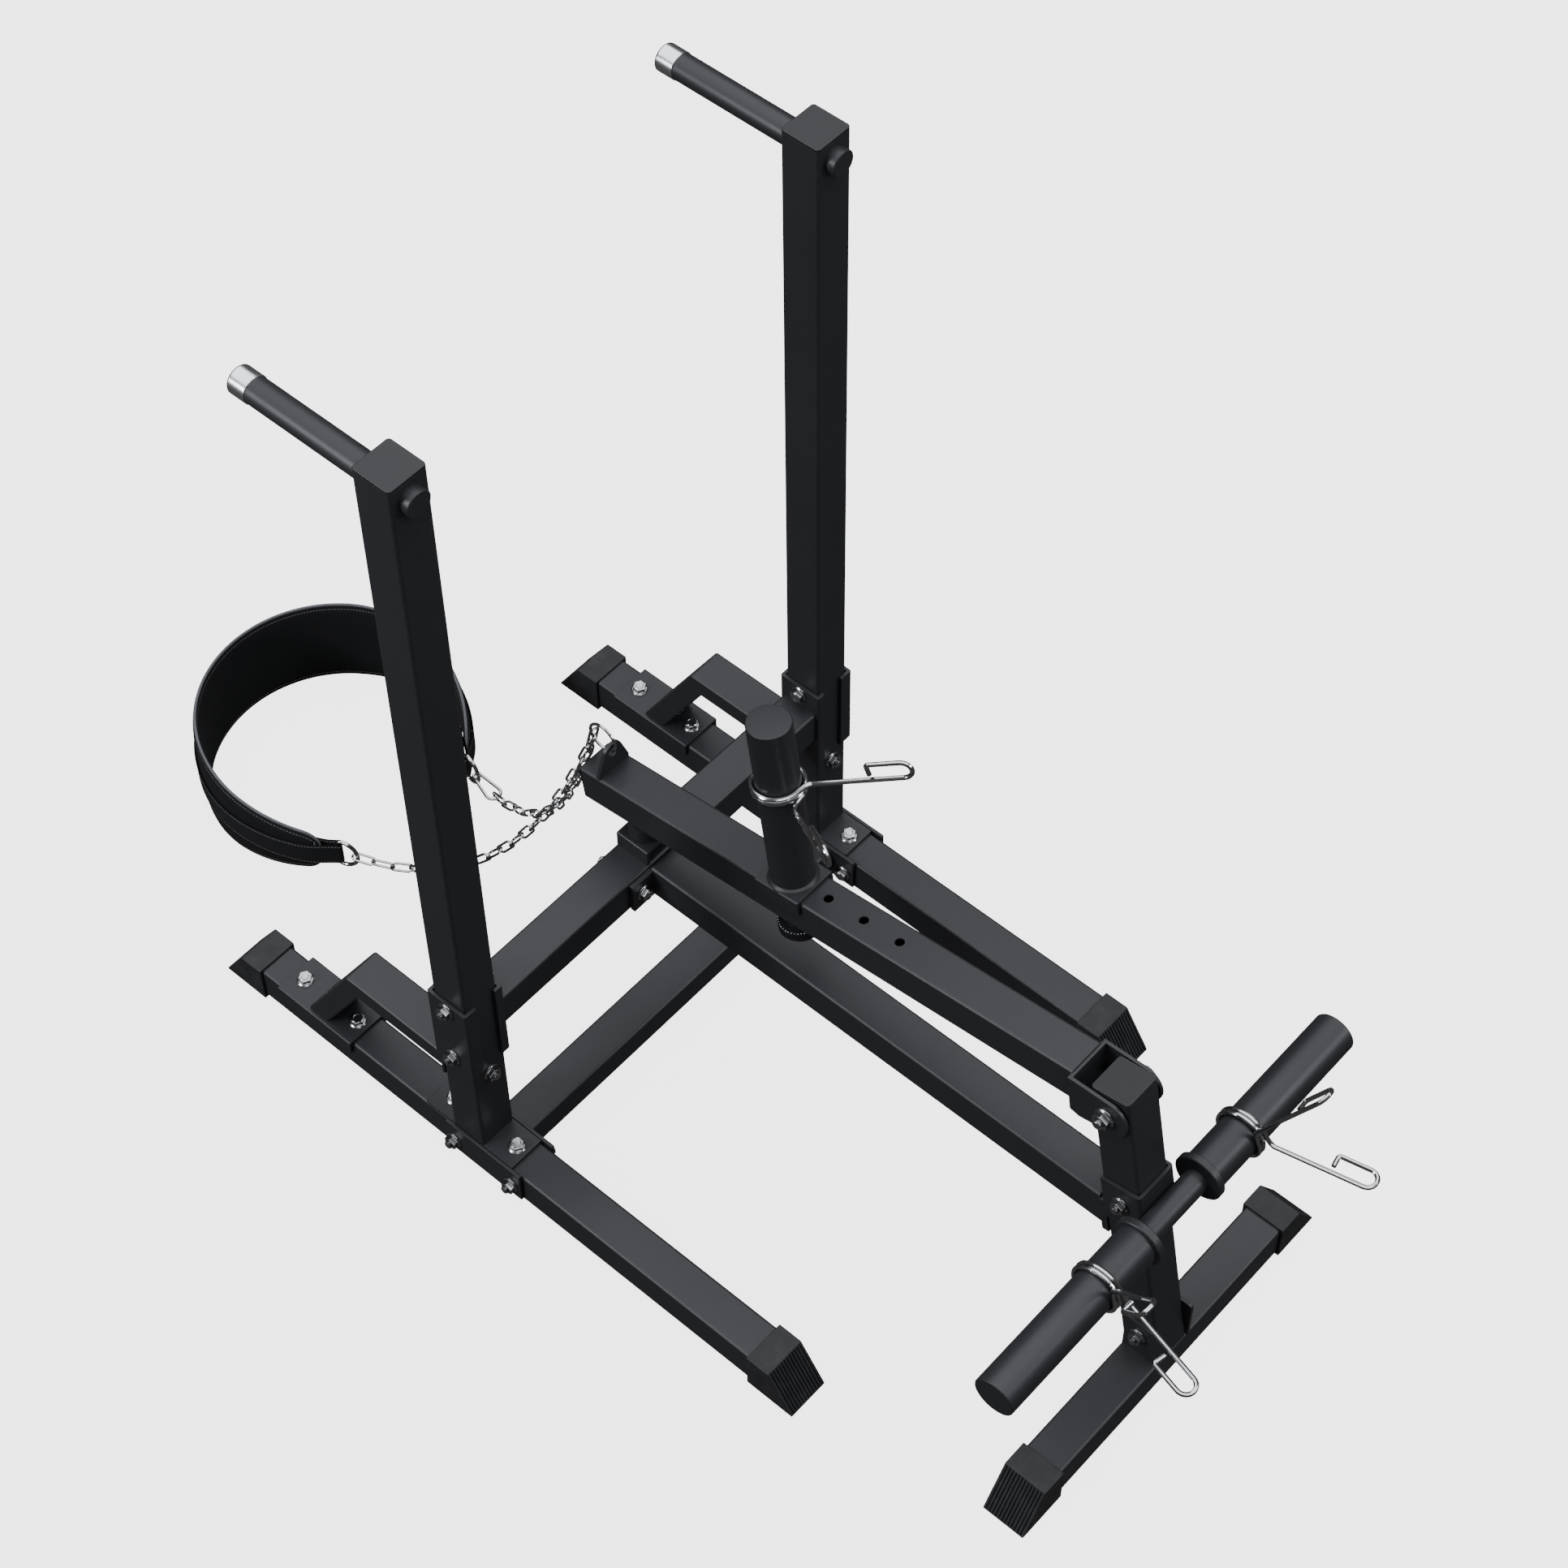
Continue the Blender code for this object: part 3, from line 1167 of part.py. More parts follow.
def strap_path():
    """Plan line of the strap with, at each point, its outward side."""
    lift = BELT_THICKNESS / 2 + GAP + STRAP_THICKNESS / 2
    points = []
    for start, sign in ((0.0, 1), (1.0, -1)):
        leg = []
        for step in range(6):
            leg.append(belt_place(start + sign * 0.05 * (5 - step) / 5, -lift))
        tip = belt_place(start)
        ahead = (belt_place(start) - belt_place(start + sign * 0.01)).normalized()
        outward = (belt_place(start, 1.0) - tip).normalized()
        centre = tip + ahead * STRAP_TURN_START
        for step in range(1, 8):
            angle = -math.pi / 2 + math.pi * step / 8
            leg.append(centre + (ahead * math.cos(angle) + outward * math.sin(angle)) * lift)
        points.append(leg)
    outer = [belt_place(step / 48, lift) for step in range(49)]
    return points[0] + outer + list(reversed(points[1]))


def build_strap():
    line = strap_path()
    half = STRAP_THICKNESS / 2
    sections = []
    for index, point in enumerate(line):
        before = line[max(index - 1, 0)]
        after = line[min(index + 1, len(line) - 1)]
        ahead = (after - before).normalized()
        across = Vector((ahead.y, -ahead.x, 0)) * half
        top = Vector((0, 0, STRAP_WIDTH / 2))
        middle = point + Vector((0, 0, BELT_MID_Z))
        sections.append([middle + across + top, middle - across + top,
                         middle - across - top, middle + across - top])
    finish("belt_strap", swept(sections), woven, hang_point())


def hang_point():
    """Middle of the ear's hole, where the chains hang."""
    return Vector((0, EAR_Y, EAR_HOLE_Z))


def ring_anchor(part, sign):
    """Bar place and outward direction of the D ring at one belt end."""
    tip = belt_place(part)
    ahead = (belt_place(part) - belt_place(part + sign * 0.01)).normalized()
    reach = STRAP_TURN_START + BELT_THICKNESS / 2 - D_RING_WIRE - 4 * GAP
    bar = tip + ahead * reach + Vector((0, 0, BELT_MID_Z))
    toward = hang_point() - bar
    return bar, Vector((toward.x, toward.y, 0)).normalized()


def d_ring_points(bar, ahead):
    """Straight bar and round bow, as a closed line; the bow points ahead."""
    corner = D_RING_CORNER
    half = D_RING_HALF_HEIGHT
    straight = half - corner
    up = Vector((0, 0, 1))
    points = [bar + up * straight * level for level in (-1, 0, 1)]
    centre = bar + ahead * corner
    for step in range(4):
        angle = math.pi - math.pi / 2 * step / 3
        points.append(centre + up * straight + (ahead * math.cos(angle) + up * math.sin(angle)) * corner)
    reach = D_RING_DEPTH - corner
    for step in range(1, 10):
        angle = math.pi / 2 - math.pi * step / 9
        points.append(centre + ahead * reach * math.cos(angle) + up * half * math.sin(angle))
    for step in range(1, 3):
        angle = -math.pi / 2 - math.pi / 2 * step / 3
        points.append(centre - up * straight + (ahead * math.cos(angle) + up * math.sin(angle)) * corner)
    return points


def build_d_rings():
    for part, sign, name in ((0.0, 1, "left"), (1.0, -1, "right")):
        work = wire("ring", d_ring_points(*ring_anchor(part, sign)), D_RING_WIRE, closed=True)
        finish("belt_d_ring_" + name, work, bright_steel, hang_point())


def oval_points(centre, long_axis, wide_axis, half_length, half_width, steps=5):
    """Closed oval: two half circles joined by straight sides, along its long axis."""
    points = []
    straight = half_length - half_width
    for end in (1, -1):
        for step in range(steps + 1):
            angle = math.pi * step / steps - math.pi / 2
            points.append(centre + end * long_axis * (straight + half_width * math.cos(angle))
                          + end * wide_axis * half_width * math.sin(angle))
    return points


def ear_link_centre():
    """The link's ring passes through the hole, over the ear's top and down in front."""
    rise = math.sqrt(EAR_LINK_RADIUS ** 2 - EAR_LINK_AHEAD ** 2)
    return hang_point() + Vector((0, -EAR_LINK_AHEAD, rise))


def build_ear_link():
    steps = 24
    points = []
    for step in range(steps):
        angle = math.tau * step / steps
        points.append(ear_link_centre() + Vector((0, math.cos(angle), math.sin(angle))) * EAR_LINK_RADIUS)
    finish("ear_link", wire("ear_link", points, EAR_LINK_WIRE, closed=True), bright_steel, hang_point())


def ear_link_hook(start, angle):
    """Chain end for which the last wire lies inside the ear link, this far below its front."""
    reach = EAR_LINK_RADIUS - EAR_LINK_WIRE - CHAIN_WIRE - CHAIN_PLAY
    hooked = ear_link_centre() + Vector((0, -math.cos(angle), -math.sin(angle))) * reach
    ahead = (hooked - start).normalized()
    return hooked - ahead * (CHAIN_WIRE - CHAIN_BITE / 2)


def catenary(start, end, marks):
    """Points on a hanging line at these distances along it; the last mark is its length."""
    length = marks[-1]
    flat = Vector((end.x - start.x, end.y - start.y, 0))
    span = flat.length
    rise = end.z - start.z
    target = math.sqrt(length ** 2 - rise ** 2)
    low, high = 0.001, 60.0
    for _ in range(80):
        middle = (low + high) / 2
        if math.sinh(middle) / middle < target / span:
            low = middle
        else:
            high = middle
    shape = span / (2 * low)
    shift = math.atanh(rise / length) * shape
    lowest = span / 2 - shift
    heading = flat.normalized()
    points = []
    begin = shape * math.sinh(-lowest / shape)
    for mark in marks:
        distance = begin + mark
        across = lowest + shape * math.asinh(distance / shape)
        level = shape * (math.cosh((across - lowest) / shape) - math.cosh(lowest / shape))
        points.append(start + heading * across + Vector((0, 0, level)))
    return points


def chain_marks(links, end_extra):
    """Joints between the links along the chain; the last link is longer by end_extra."""
    return [CHAIN_PITCH * index for index in range(links)] + [CHAIN_PITCH * links + end_extra]


def pushed_aside(points, marks, push):
    """The two chains lie side by side near the ear and push each other out by this much."""
    moved = []
    for point, mark in zip(points, marks):
        part = min(1.0, (marks[-1] - mark) / CHAIN_PUSH_REACH)
        moved.append(point + Vector((push * math.sin(math.pi * part), 0, 0)))
    return moved


def chain(start, end, marks, first_turn, push):
    """Links along a hanging line, each turned a quarter against the last and just touching it."""
    halves = (bmesh.new(), bmesh.new())
    points = pushed_aside(catenary(start, end, marks), marks, push)
    links = len(marks) - 1
    half_width = CHAIN_WIDTH / 2 - CHAIN_WIRE
    for index in range(links):
        ahead = (points[index + 1] - points[index]).normalized()
        level = ahead.cross(Vector((0, 0, 1))).normalized()
        upright = level.cross(ahead)
        wide = level if (index + first_turn) % 2 == 0 else upright
        centre = (points[index] + points[index + 1]) / 2
        half_length = (marks[index + 1] - marks[index]) / 2 + CHAIN_WIRE - CHAIN_BITE / 2
        merge(halves[index % 2], wire("link", oval_points(centre, ahead, wide, half_length, half_width, 3),
                                      CHAIN_WIRE, closed=True, resolution=0))
    return joined("chain", list(halves))


def build_chains():
    """Both chains: the left one straight on its D ring, the right one on a snap hook."""
    hold = CHAIN_PLAY + CHAIN_BITE
    bar, ahead = ring_anchor(0.0, 1)
    start = bar + ahead * (D_RING_DEPTH - D_RING_WIRE - hold)
    end = ear_link_hook(start, LEFT_HOOK_ANGLE)
    marks = chain_marks(LEFT_CHAIN_LINKS, 0)
    print("left chain", round((end - start).length, 4), "m apart,", round(marks[-1], 4), "m long")
    finish("chain_left", chain(start, end, marks, 0, CHAIN_PUSH), bright_steel, hang_point())
    bar, ahead = ring_anchor(1.0, -1)
    near = bar + ahead * (D_RING_DEPTH - D_RING_WIRE - SNAP_WIRE - CHAIN_PLAY)
    middle = near + ahead * SNAP_HALF_LENGTH
    level = ahead.cross(Vector((0, 0, 1)))
    points = oval_points(middle, ahead, level, SNAP_HALF_LENGTH, SNAP_HALF_WIDTH, 6)
    finish("belt_snap_hook", wire("snap", points, SNAP_WIRE, closed=True), bright_steel, hang_point())
    start = near + ahead * (2 * SNAP_HALF_LENGTH - 2 * SNAP_WIRE - hold) - Vector((0, 0, SNAP_DROP))
    end = ear_link_hook(start, RIGHT_HOOK_ANGLE)
    marks = chain_marks(RIGHT_CHAIN_LINKS, END_LINK_EXTRA)
    print("right chain", round((end - start).length, 4), "m apart,", round(marks[-1], 4), "m long")
    finish("chain_right", chain(start, end, marks, 1, -CHAIN_PUSH), bright_steel, hang_point())


def cross_bolt(head_seat, nut_seat, radius=BOLT_RADIUS):
    """Bolt through from one seat to the other, with its nut tight on the thread."""
    direction = Vector(nut_seat) - Vector(head_seat)
    shank = bolt(head_seat, direction, direction.length + NUT_HEIGHT + THREAD_END, radius)
    return joined("bolt", [shank, nut(nut_seat, direction, radius)])


def build_fasteners():
    reach = SEAT + PLATE
    for side in (1, -1):
        x = side * RAIL_X
        inner = side * CLAMP_INNER_X
        outer = side * CLAMP_OUTER_X
        label = side_name(side)
        for y, place in zip(SIDE_PLATE_BOLT_Y, ("front", "rear")):
            seats = ((inner, y, SIDE_PLATE_BOLT_Z), (outer, y, SIDE_PLATE_BOLT_Z))
            finish("rail_bolt_" + place + "_" + label, cross_bolt(*seats), zinc)
        for offset, place in ((-CLAMP_BOLT_OFFSET, "lower"), (CLAMP_BOLT_OFFSET, "upper")):
            seats = ((inner, 0, CROSSBAR_Z + offset), (outer, 0, CROSSBAR_Z + offset))
            finish("clamp_bolt_" + place + "_" + label, cross_bolt(*seats), zinc)
        seats = ((x, STEP_PLATE_FRONT, STEP_BOLT_Z), (x, HALF_TUBE, STEP_BOLT_Z))
        finish("step_bolt_" + label, cross_bolt(*seats), zinc)
        bolt_x = side * SPINE_PLATE_BOLT_X
        seats = ((bolt_x, SEAT + SPINE_PLATE, CROSSBAR_Z), (bolt_x, -HALF_TUBE, CROSSBAR_Z))
        finish("spine_bolt_" + label, cross_bolt(*seats), zinc)
    for name, place in (("post_clamp_bolt", POST_CLAMP_BOLT), ("post_base_bolt", POST_BASE_BOLT)):
        seats = (post_point(-reach, *place), post_point(reach, *place))
        finish(name, cross_bolt(*seats), zinc)


def recentre():
    """Move everything so that the box's bottom centre is the origin."""
    bpy.context.view_layer.update()
    corners = [item.matrix_world @ Vector(corner) for item in bpy.data.objects for corner in item.bound_box]
    middle = [(min(c[axis] for c in corners) + max(c[axis] for c in corners)) / 2 for axis in (0, 1)]
    floor = min(c[2] for c in corners)
    shift = Vector((middle[0], middle[1], floor))
    for item in bpy.data.objects:
        item.location -= shift
    print("origin moved by", [round(value, 6) for value in shift])


def build():
    clear_scene()
    for side in (1, -1):
        build_rail(side)
        build_rail_foot(side, -1)
        build_rail_foot(side, 1)
        build_bar_foot(side)
        build_outer_side_plate(side)
        build_upright(side)
        build_outer_clamp(side)
        build_step(side)
        build_handle_cap(side)
    build_tube_caps()
    build_foot_bar()
    build_lower_crossbar()
    build_crossbar()
    build_spine()
    build_rear_post()
    build_storage()
    build_bumper()
    build_lever()
    build_pivot_bolt()
    build_weight_carriage()
    build_knob()
    build_clips()
    build_belt()
    build_strap()
    build_d_rings()
    build_ear_link()
    build_chains()
    build_fasteners()
    recentre()


build()
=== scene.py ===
# %% [markdown]
# # A dip station with a plate lever
#
# The real thing is a welded frame of black square tube: two uprights with dip handles, a hinged
# lever that carries plates, a post that stores plates, and a padded belt on two chains. The packed
# model gives every piece its place, so this script models each piece again with finer edges and
# gives it its finish. Most sizes below are those of the steel itself, in metres, and Y counts from
# the middle of the uprights, the way a fitter would measure.

# %% Load the frame
import json
from math import (acos, asinh, atan, atan2, atanh, cos, cosh, degrees, exp, hypot, pi, radians, sin,
                  sinh, sqrt, tan, tau)

import bpy
from mathutils import Matrix, Vector


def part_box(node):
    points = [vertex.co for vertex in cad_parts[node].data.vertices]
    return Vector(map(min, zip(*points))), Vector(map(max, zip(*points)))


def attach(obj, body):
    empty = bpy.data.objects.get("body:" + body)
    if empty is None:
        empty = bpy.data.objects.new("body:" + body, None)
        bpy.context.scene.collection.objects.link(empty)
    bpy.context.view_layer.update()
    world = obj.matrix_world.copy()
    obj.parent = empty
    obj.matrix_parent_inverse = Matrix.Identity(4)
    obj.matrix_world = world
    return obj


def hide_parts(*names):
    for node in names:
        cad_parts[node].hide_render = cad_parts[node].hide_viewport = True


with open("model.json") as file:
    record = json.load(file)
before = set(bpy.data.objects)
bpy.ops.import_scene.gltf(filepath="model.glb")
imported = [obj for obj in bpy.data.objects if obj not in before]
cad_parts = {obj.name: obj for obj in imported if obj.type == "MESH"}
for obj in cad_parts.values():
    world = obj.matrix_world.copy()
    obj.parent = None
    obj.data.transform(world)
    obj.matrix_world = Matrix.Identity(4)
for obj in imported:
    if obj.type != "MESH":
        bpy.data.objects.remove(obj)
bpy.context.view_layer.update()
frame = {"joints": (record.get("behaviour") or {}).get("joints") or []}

# %% [markdown]
# ## Where things are
# The frame's origin is under the middle of the whole object, while the maker measures from the
# uprights. One clamp plate is centred on its upright, so its box gives the shift between the two.
# The lever and the rear post are tilted, and each gets its own set of axes, so that a piece on it
# can be modelled straight and tilted at the end. GAP is the play between pieces that are bolted
# together, SEAT the inside of what fits over a tube and PLATE_FACE the outside of a plate on it, both
# from the tube's middle. SINK and WELD_BITE say how far a welded piece runs into the next one.

# %% Sizes that several pieces share
SIDES = ((1, "left"), (-1, "right"))
TUBE = 0.050
HALF = TUBE / 2
TUBE_WALL = 0.0025
TUBE_CORNER = 0.004
PLATE = 0.0045
GAP = 0.0003
SEAT = HALF + GAP
PLATE_FACE = SEAT + PLATE
SINK = 0.003
WELD_BITE = 0.002
RAIL_X = 0.2965
INNER, OUTER = RAIL_X - SEAT - PLATE, RAIL_X + SEAT + PLATE
RAIL_Z = 0.0286
RAIL_TOP = RAIL_Z + HALF
FOOT_PLATE_TOP = RAIL_TOP + GAP + PLATE
POST_LEAN = radians(10.46)
POST_Y = 0.7635
POST_LENGTH = 0.4581
PIVOT_DROP = 0.0319
PIVOT_PAST_LEVER = 0.0483
LEVER_FRONT_Y = -0.0773
clamp_low, clamp_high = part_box("outer_clamp_left")
UPRIGHT_Y = (clamp_low.y + clamp_high.y) / 2
print("uprights at Y", round(UPRIGHT_Y, 4), "and X", RAIL_X)


# %% Axes of the uprights, the lever and the rear post
def at(x, y, z):
    """A place measured from the middle of the uprights, as a place in the frame."""
    return Vector((x, y + UPRIGHT_Y, z))


def axes(start, x_axis, y_axis, z_axis):
    turn = Matrix((x_axis, y_axis, z_axis)).transposed().to_4x4()
    return Matrix.Translation(Vector(start)) @ turn


def facing(start, direction):
    """Local Z looks along the direction."""
    turn = Vector(direction).to_track_quat("Z", "Y").to_matrix().to_4x4()
    return Matrix.Translation(Vector(start)) @ turn


def rearward(x, y, z):
    """Local Z runs to the rear and Y up, from a place measured from the uprights."""
    return axes(at(x, y, z), (-1, 0, 0), (0, 0, 1), (0, 1, 0))


def crosswise(x, y, z):
    """Local Z runs across, X to the rear and Y up, so that local X and Y are a side view."""
    return axes(at(x, y, z), (0, 1, 0), (0, 0, 1), (1, 0, 0))


joints = {joint["name"]: joint for joint in frame["joints"]}
lever_up = Vector(joints["carriage_lift"]["axis"]).normalized()
lever_ahead = Vector((0, lever_up.z, -lever_up.y))
LEVER_TILT = lever_ahead.z / lever_ahead.y
pivot = Vector(joints["lever_pivot"]["pos_m"])
pivot_along = (pivot.y + PIVOT_DROP * lever_up.y - at(0, LEVER_FRONT_Y, 0).y) / lever_ahead.y
lever_front = pivot + PIVOT_DROP * lever_up - pivot_along * lever_ahead
lever_length = pivot_along - PIVOT_PAST_LEVER
post_up = Vector((0, -sin(POST_LEAN), cos(POST_LEAN)))
post_back = Vector((0, cos(POST_LEAN), sin(POST_LEAN)))


def on_lever(along=0.0, height=0.0):
    """Local X across the lever, Y over its top face, Z along it from its front end."""
    start = lever_front + along * lever_ahead + height * lever_up
    return axes(start, (-1, 0, 0), lever_up, lever_ahead)


def post_spot(x, across, height):
    return at(x, POST_Y, RAIL_TOP) + across * post_back + height * post_up


def on_post(height=0.0):
    return axes(post_spot(0, 0, height), (1, 0, 0), post_back, post_up)


print("lever", round(lever_length, 4), "m long, tilted", round(degrees(atan(LEVER_TILT)), 2),
      "degrees")

# %% [markdown]
# ## Camera, floor and light
# The picture was taken from high behind the left side, with a long lens, on white paper. The camera
# comes first, because it decides what has to look right. Its place and turn were fitted to the
# object's corners. Black steel shows only what it reflects, so one wide soft sheet overhead greys
# the top faces and leaves the sides nearly black, and two small lamps far out draw the thin light
# line along the tubes' upper edges. The paper glows a little, so that the shadow on it stays faint,
# but it throws no light back on the steel.

# %% Camera
AZIMUTH = radians(131.99)
ELEVATION = radians(53.19)
ROLL = radians(-0.73)
CAMERA_PLACE = (1.66203, 1.60633, 3.59332)
LENS = 80.74
back = Vector((sin(AZIMUTH) * cos(ELEVATION), -cos(AZIMUTH) * cos(ELEVATION),
               sin(ELEVATION)))
right = (-back).cross(Vector((0, 0, 1))).normalized()
up = right.cross(-back)
bpy.ops.object.select_all(action="DESELECT")
bpy.ops.object.camera_add()
camera = bpy.context.object
camera.name = "camera"
camera.matrix_world = axes(CAMERA_PLACE, right * cos(ROLL) + up * sin(ROLL),
                           up * cos(ROLL) - right * sin(ROLL), back)
camera.data.sensor_width = 36
camera.data.lens = LENS
camera.data.clip_end = 50
bpy.context.scene.camera = camera
print("camera", [round(value, 3) for value in camera.location])

# %% Floor and lights
LAMPS = (("overhead", (0.0, 0.1, 4.6), (0.0, 0.1, 0), 8.0, 590),
         ("rear_edges", (-1.9, 3.4, 2.1), (0, 0, 0.4), 1.0, 50),
         ("side_edges", (3.4, -1.7, 2.1), (0, 0, 0.4), 1.0, 110))
LAMP_COLOUR = (0.93, 0.955, 1.0)
STUDIO_GREY = (0.93, 0.93, 0.93, 1)
STUDIO_STRENGTH = 0.08
bpy.ops.mesh.primitive_plane_add(size=40, location=(0, 0, 0))
floor = bpy.context.object
floor.name = "floor"
floor.visible_diffuse = False
floor.visible_glossy = False
for name, place, aim, size, power in LAMPS:
    bpy.ops.object.light_add(type="AREA", location=place)
    lamp = bpy.context.object
    lamp.name = name
    lamp.data.shape = "RECTANGLE"
    lamp.data.size = size
    lamp.data.size_y = size
    lamp.data.energy = power
    lamp.data.color = LAMP_COLOUR
    lamp.rotation_mode = "QUATERNION"
    lamp.rotation_quaternion = (Vector(aim) - Vector(place)).to_track_quat("-Z", "Y")
    print(name, "lamp,", size, "m wide,", power, "watts")
world = bpy.data.worlds.new("studio")
world.use_nodes = True
world.node_tree.nodes["Background"].inputs["Color"].default_value = STUDIO_GREY
world.node_tree.nodes["Background"].inputs["Strength"].default_value = STUDIO_STRENGTH
bpy.context.scene.world = world

# %% [markdown]
# ## Writing a finish
# A finish is a recipe of small sums: a noise here, an edge there, mixed into colour, roughness and
# bump. Wiring each sum by hand would hide the recipe, so one small class wraps a socket and lets
# Python's own signs add the maths nodes. Everything that stays the same over a surface is set on
# the shader itself.

# %% Sums for a recipe
def sign(operation, swapped=False):
    """What one of Python's signs does with an amount; swapped is for a plain number before it."""
    def work(self, other):
        return self.sum(operation, other, self) if swapped else self.sum(operation, self, other)
    return work


class Amount:
    """A number that varies over a surface; the usual signs work on it."""
    __add__, __radd__ = sign("ADD"), sign("ADD", True)
    __sub__, __rsub__ = sign("SUBTRACT"), sign("SUBTRACT", True)
    __mul__, __rmul__ = sign("MULTIPLY"), sign("MULTIPLY", True)
    __pow__, __gt__, __lt__ = sign("POWER"), sign("GREATER_THAN"), sign("LESS_THAN")

    def __init__(self, recipe, socket):
        self.recipe, self.socket = recipe, socket

    def sum(self, operation, *others):
        node = self.recipe.tree.nodes.new("ShaderNodeMath")
        node.operation = operation
        for slot, item in zip(node.inputs, others):
            self.recipe.feed(slot, item)
        return Amount(self.recipe, node.outputs[0])

    def __abs__(self):
        return self.sum("ABSOLUTE", self)

    def wave(self):
        return self.sum("SINE", self)


# %% Recipe
class Recipe:
    """One finish: a Principled shader and the sums that feed it."""

    def __init__(self, name, colour, roughness, metallic=0.0, specular=0.5):
        self.material = bpy.data.materials.new(name)
        self.material.use_nodes = True
        self.tree = self.material.node_tree
        self.shader = self.tree.nodes["Principled BSDF"]
        for key, value in (("Base Color", (*colour, 1)), ("Roughness", roughness), ("Metallic", metallic),
                           ("Specular IOR Level", specular)):
            self.shader.inputs[key].default_value = value

    def feed(self, slot, item):
        if isinstance(item, Amount):
            item = item.socket
        if isinstance(item, bpy.types.NodeSocket):
            self.tree.links.new(item, slot)
        else:
            slot.default_value = item

    def node(self, kind, output=0, inputs=(), **settings):
        made = self.tree.nodes.new(kind)
        for key, value in settings.items():
            setattr(made, key, value)
        for key, item in dict(inputs).items():
            self.feed(made.inputs[key], item)
        return Amount(self, made.outputs[output])

    def noise(self, scale, detail=3.0, stretch=(1, 1, 1)):
        place = self.node("ShaderNodeTexCoord", "Object")
        spot = self.node("ShaderNodeMapping", 0, {"Vector": place, "Scale": stretch})
        return self.node("ShaderNodeTexNoise", "Fac", {"Vector": spot, "Scale": scale, "Detail": detail})

    def measured(self, name):
        """A number kept on the mesh, such as the distance from a sewn edge."""
        return self.node("ShaderNodeAttribute", "Fac", attribute_name=name)

    def tint(self, share, other):
        """Mix the base colour towards another one by a share from 0 to 1."""
        mix = self.tree.nodes.new("ShaderNodeMix")
        mix.data_type = "RGBA"
        self.feed(mix.inputs["Factor"], share)
        before = self.shader.inputs["Base Color"]
        if before.links:
            self.feed(mix.inputs[6], before.links[0].from_socket)
        else:
            mix.inputs[6].default_value = before.default_value
        mix.inputs[7].default_value = (*other, 1)
        self.feed(before, mix.outputs[2])

    def rough(self, amount):
        self.feed(self.shader.inputs["Roughness"], amount)

    def bump(self, height, depth, strength=1.0):
        made = self.node("ShaderNodeBump", 0, {"Height": height, "Distance": depth, "Strength": strength})
        self.feed(self.shader.inputs["Normal"], made)


print("a recipe can take:", ", ".join(name for name in vars(Recipe) if not name.startswith("_")))

# %% [markdown]
# ## Powder coat
# The frame is sprayed with dry powder and baked. The skin that forms is satin, a little darker in
# some places than in others, and finely pebbled like orange peel. Noises are enough: a slow one for
# the sheen, a middle one for handling marks, and two fine ones for the peel.

# %% Powder coat
paint = Recipe("powder_coat", (0.0150, 0.0153, 0.0172), 0.42, specular=0.38)
cloud = paint.noise(7.0, 4)
marks = paint.noise(160.0, 2, (1, 1, 0.25))
paint.tint(cloud * 0.5, (0.020, 0.0206, 0.0232))
paint.rough(0.36 + cloud * 0.10 + marks * 0.06)
paint.bump(paint.noise(1500.0, 2) + 0.3 * paint.noise(420.0, 2), 0.00006, 0.35)
coat = paint.material
print(coat.name, len(coat.node_tree.nodes), "nodes")

# %% [markdown]
# ## Metals
# Zinc plating is grey and slightly cloudy, the bent wire and the chain are bright nickel with faint
# drawing lines, and the handle caps are mirror chrome. On metal the colour is the reflection, so
# these differ in roughness more than in colour.

# %% Zinc, bright wire and chrome
def bare_metal(name, colour, roughness, cloud_size, lines):
    metal = Recipe(name, colour, roughness, 1.0)
    cloud = metal.noise(cloud_size, 3)
    metal.tint(cloud * 0.45, tuple(0.72 * part for part in colour))
    metal.rough(roughness * 0.75 + cloud * roughness * 0.6)
    metal.bump(metal.noise(lines, 2, (1, 1, 6)), 0.00003, 0.3)
    return metal.material


zinc = bare_metal("zinc_plate", (0.44, 0.44, 0.445), 0.22, 260.0, 1200.0)
bright = bare_metal("bright_nickel", (0.54, 0.54, 0.545), 0.15, 120.0, 900.0)
chrome = bare_metal("mirror_chrome", (0.82, 0.82, 0.83), 0.22, 40.0, 500.0)
print("metals:", zinc.name, bright.name, chrome.name)

# %% [markdown]
# ## Rubber and plastics
# The feet and the stop are moulded rubber with a dry, slightly dusty surface. Tube caps and the
# knob are moulded plastic with a fine spark grain. The bush washers are plain pale nylon.

# %% Rubber, plastic and nylon
def moulded(name, colour, dust, roughness, grain):
    made = Recipe(name, colour, roughness, specular=0.35)
    film = made.noise(55.0, 5)
    made.tint(film ** 3.0, dust)
    made.rough(roughness - 0.06 + film * 0.12)
    made.bump(made.noise(grain, 2), 0.00008, 0.4)
    return made.material


rubber = moulded("foot_rubber", (0.011, 0.011, 0.012), (0.045, 0.045, 0.045), 0.62, 1400.0)
plastic = moulded("cap_plastic", (0.009, 0.009, 0.010), (0.017, 0.017, 0.019), 0.40, 2200.0)
nylon = moulded("bush_nylon", (0.62, 0.60, 0.55), (0.70, 0.68, 0.64), 0.45, 900.0)
print("mouldings:", rubber.name, plastic.name, nylon.name)

# %% [markdown]
# ## Belt cloth, tape and webbing
# The belt is sewn from dense black cloth, bound at its edge with a greyer tape, with a webbing
# strap sewn on. Threads and stitches follow the cloth, not the room, so these finishes read three
# numbers kept on the mesh: the way along the belt, the way across it, and the distance from the
# sewn edge, all in metres.

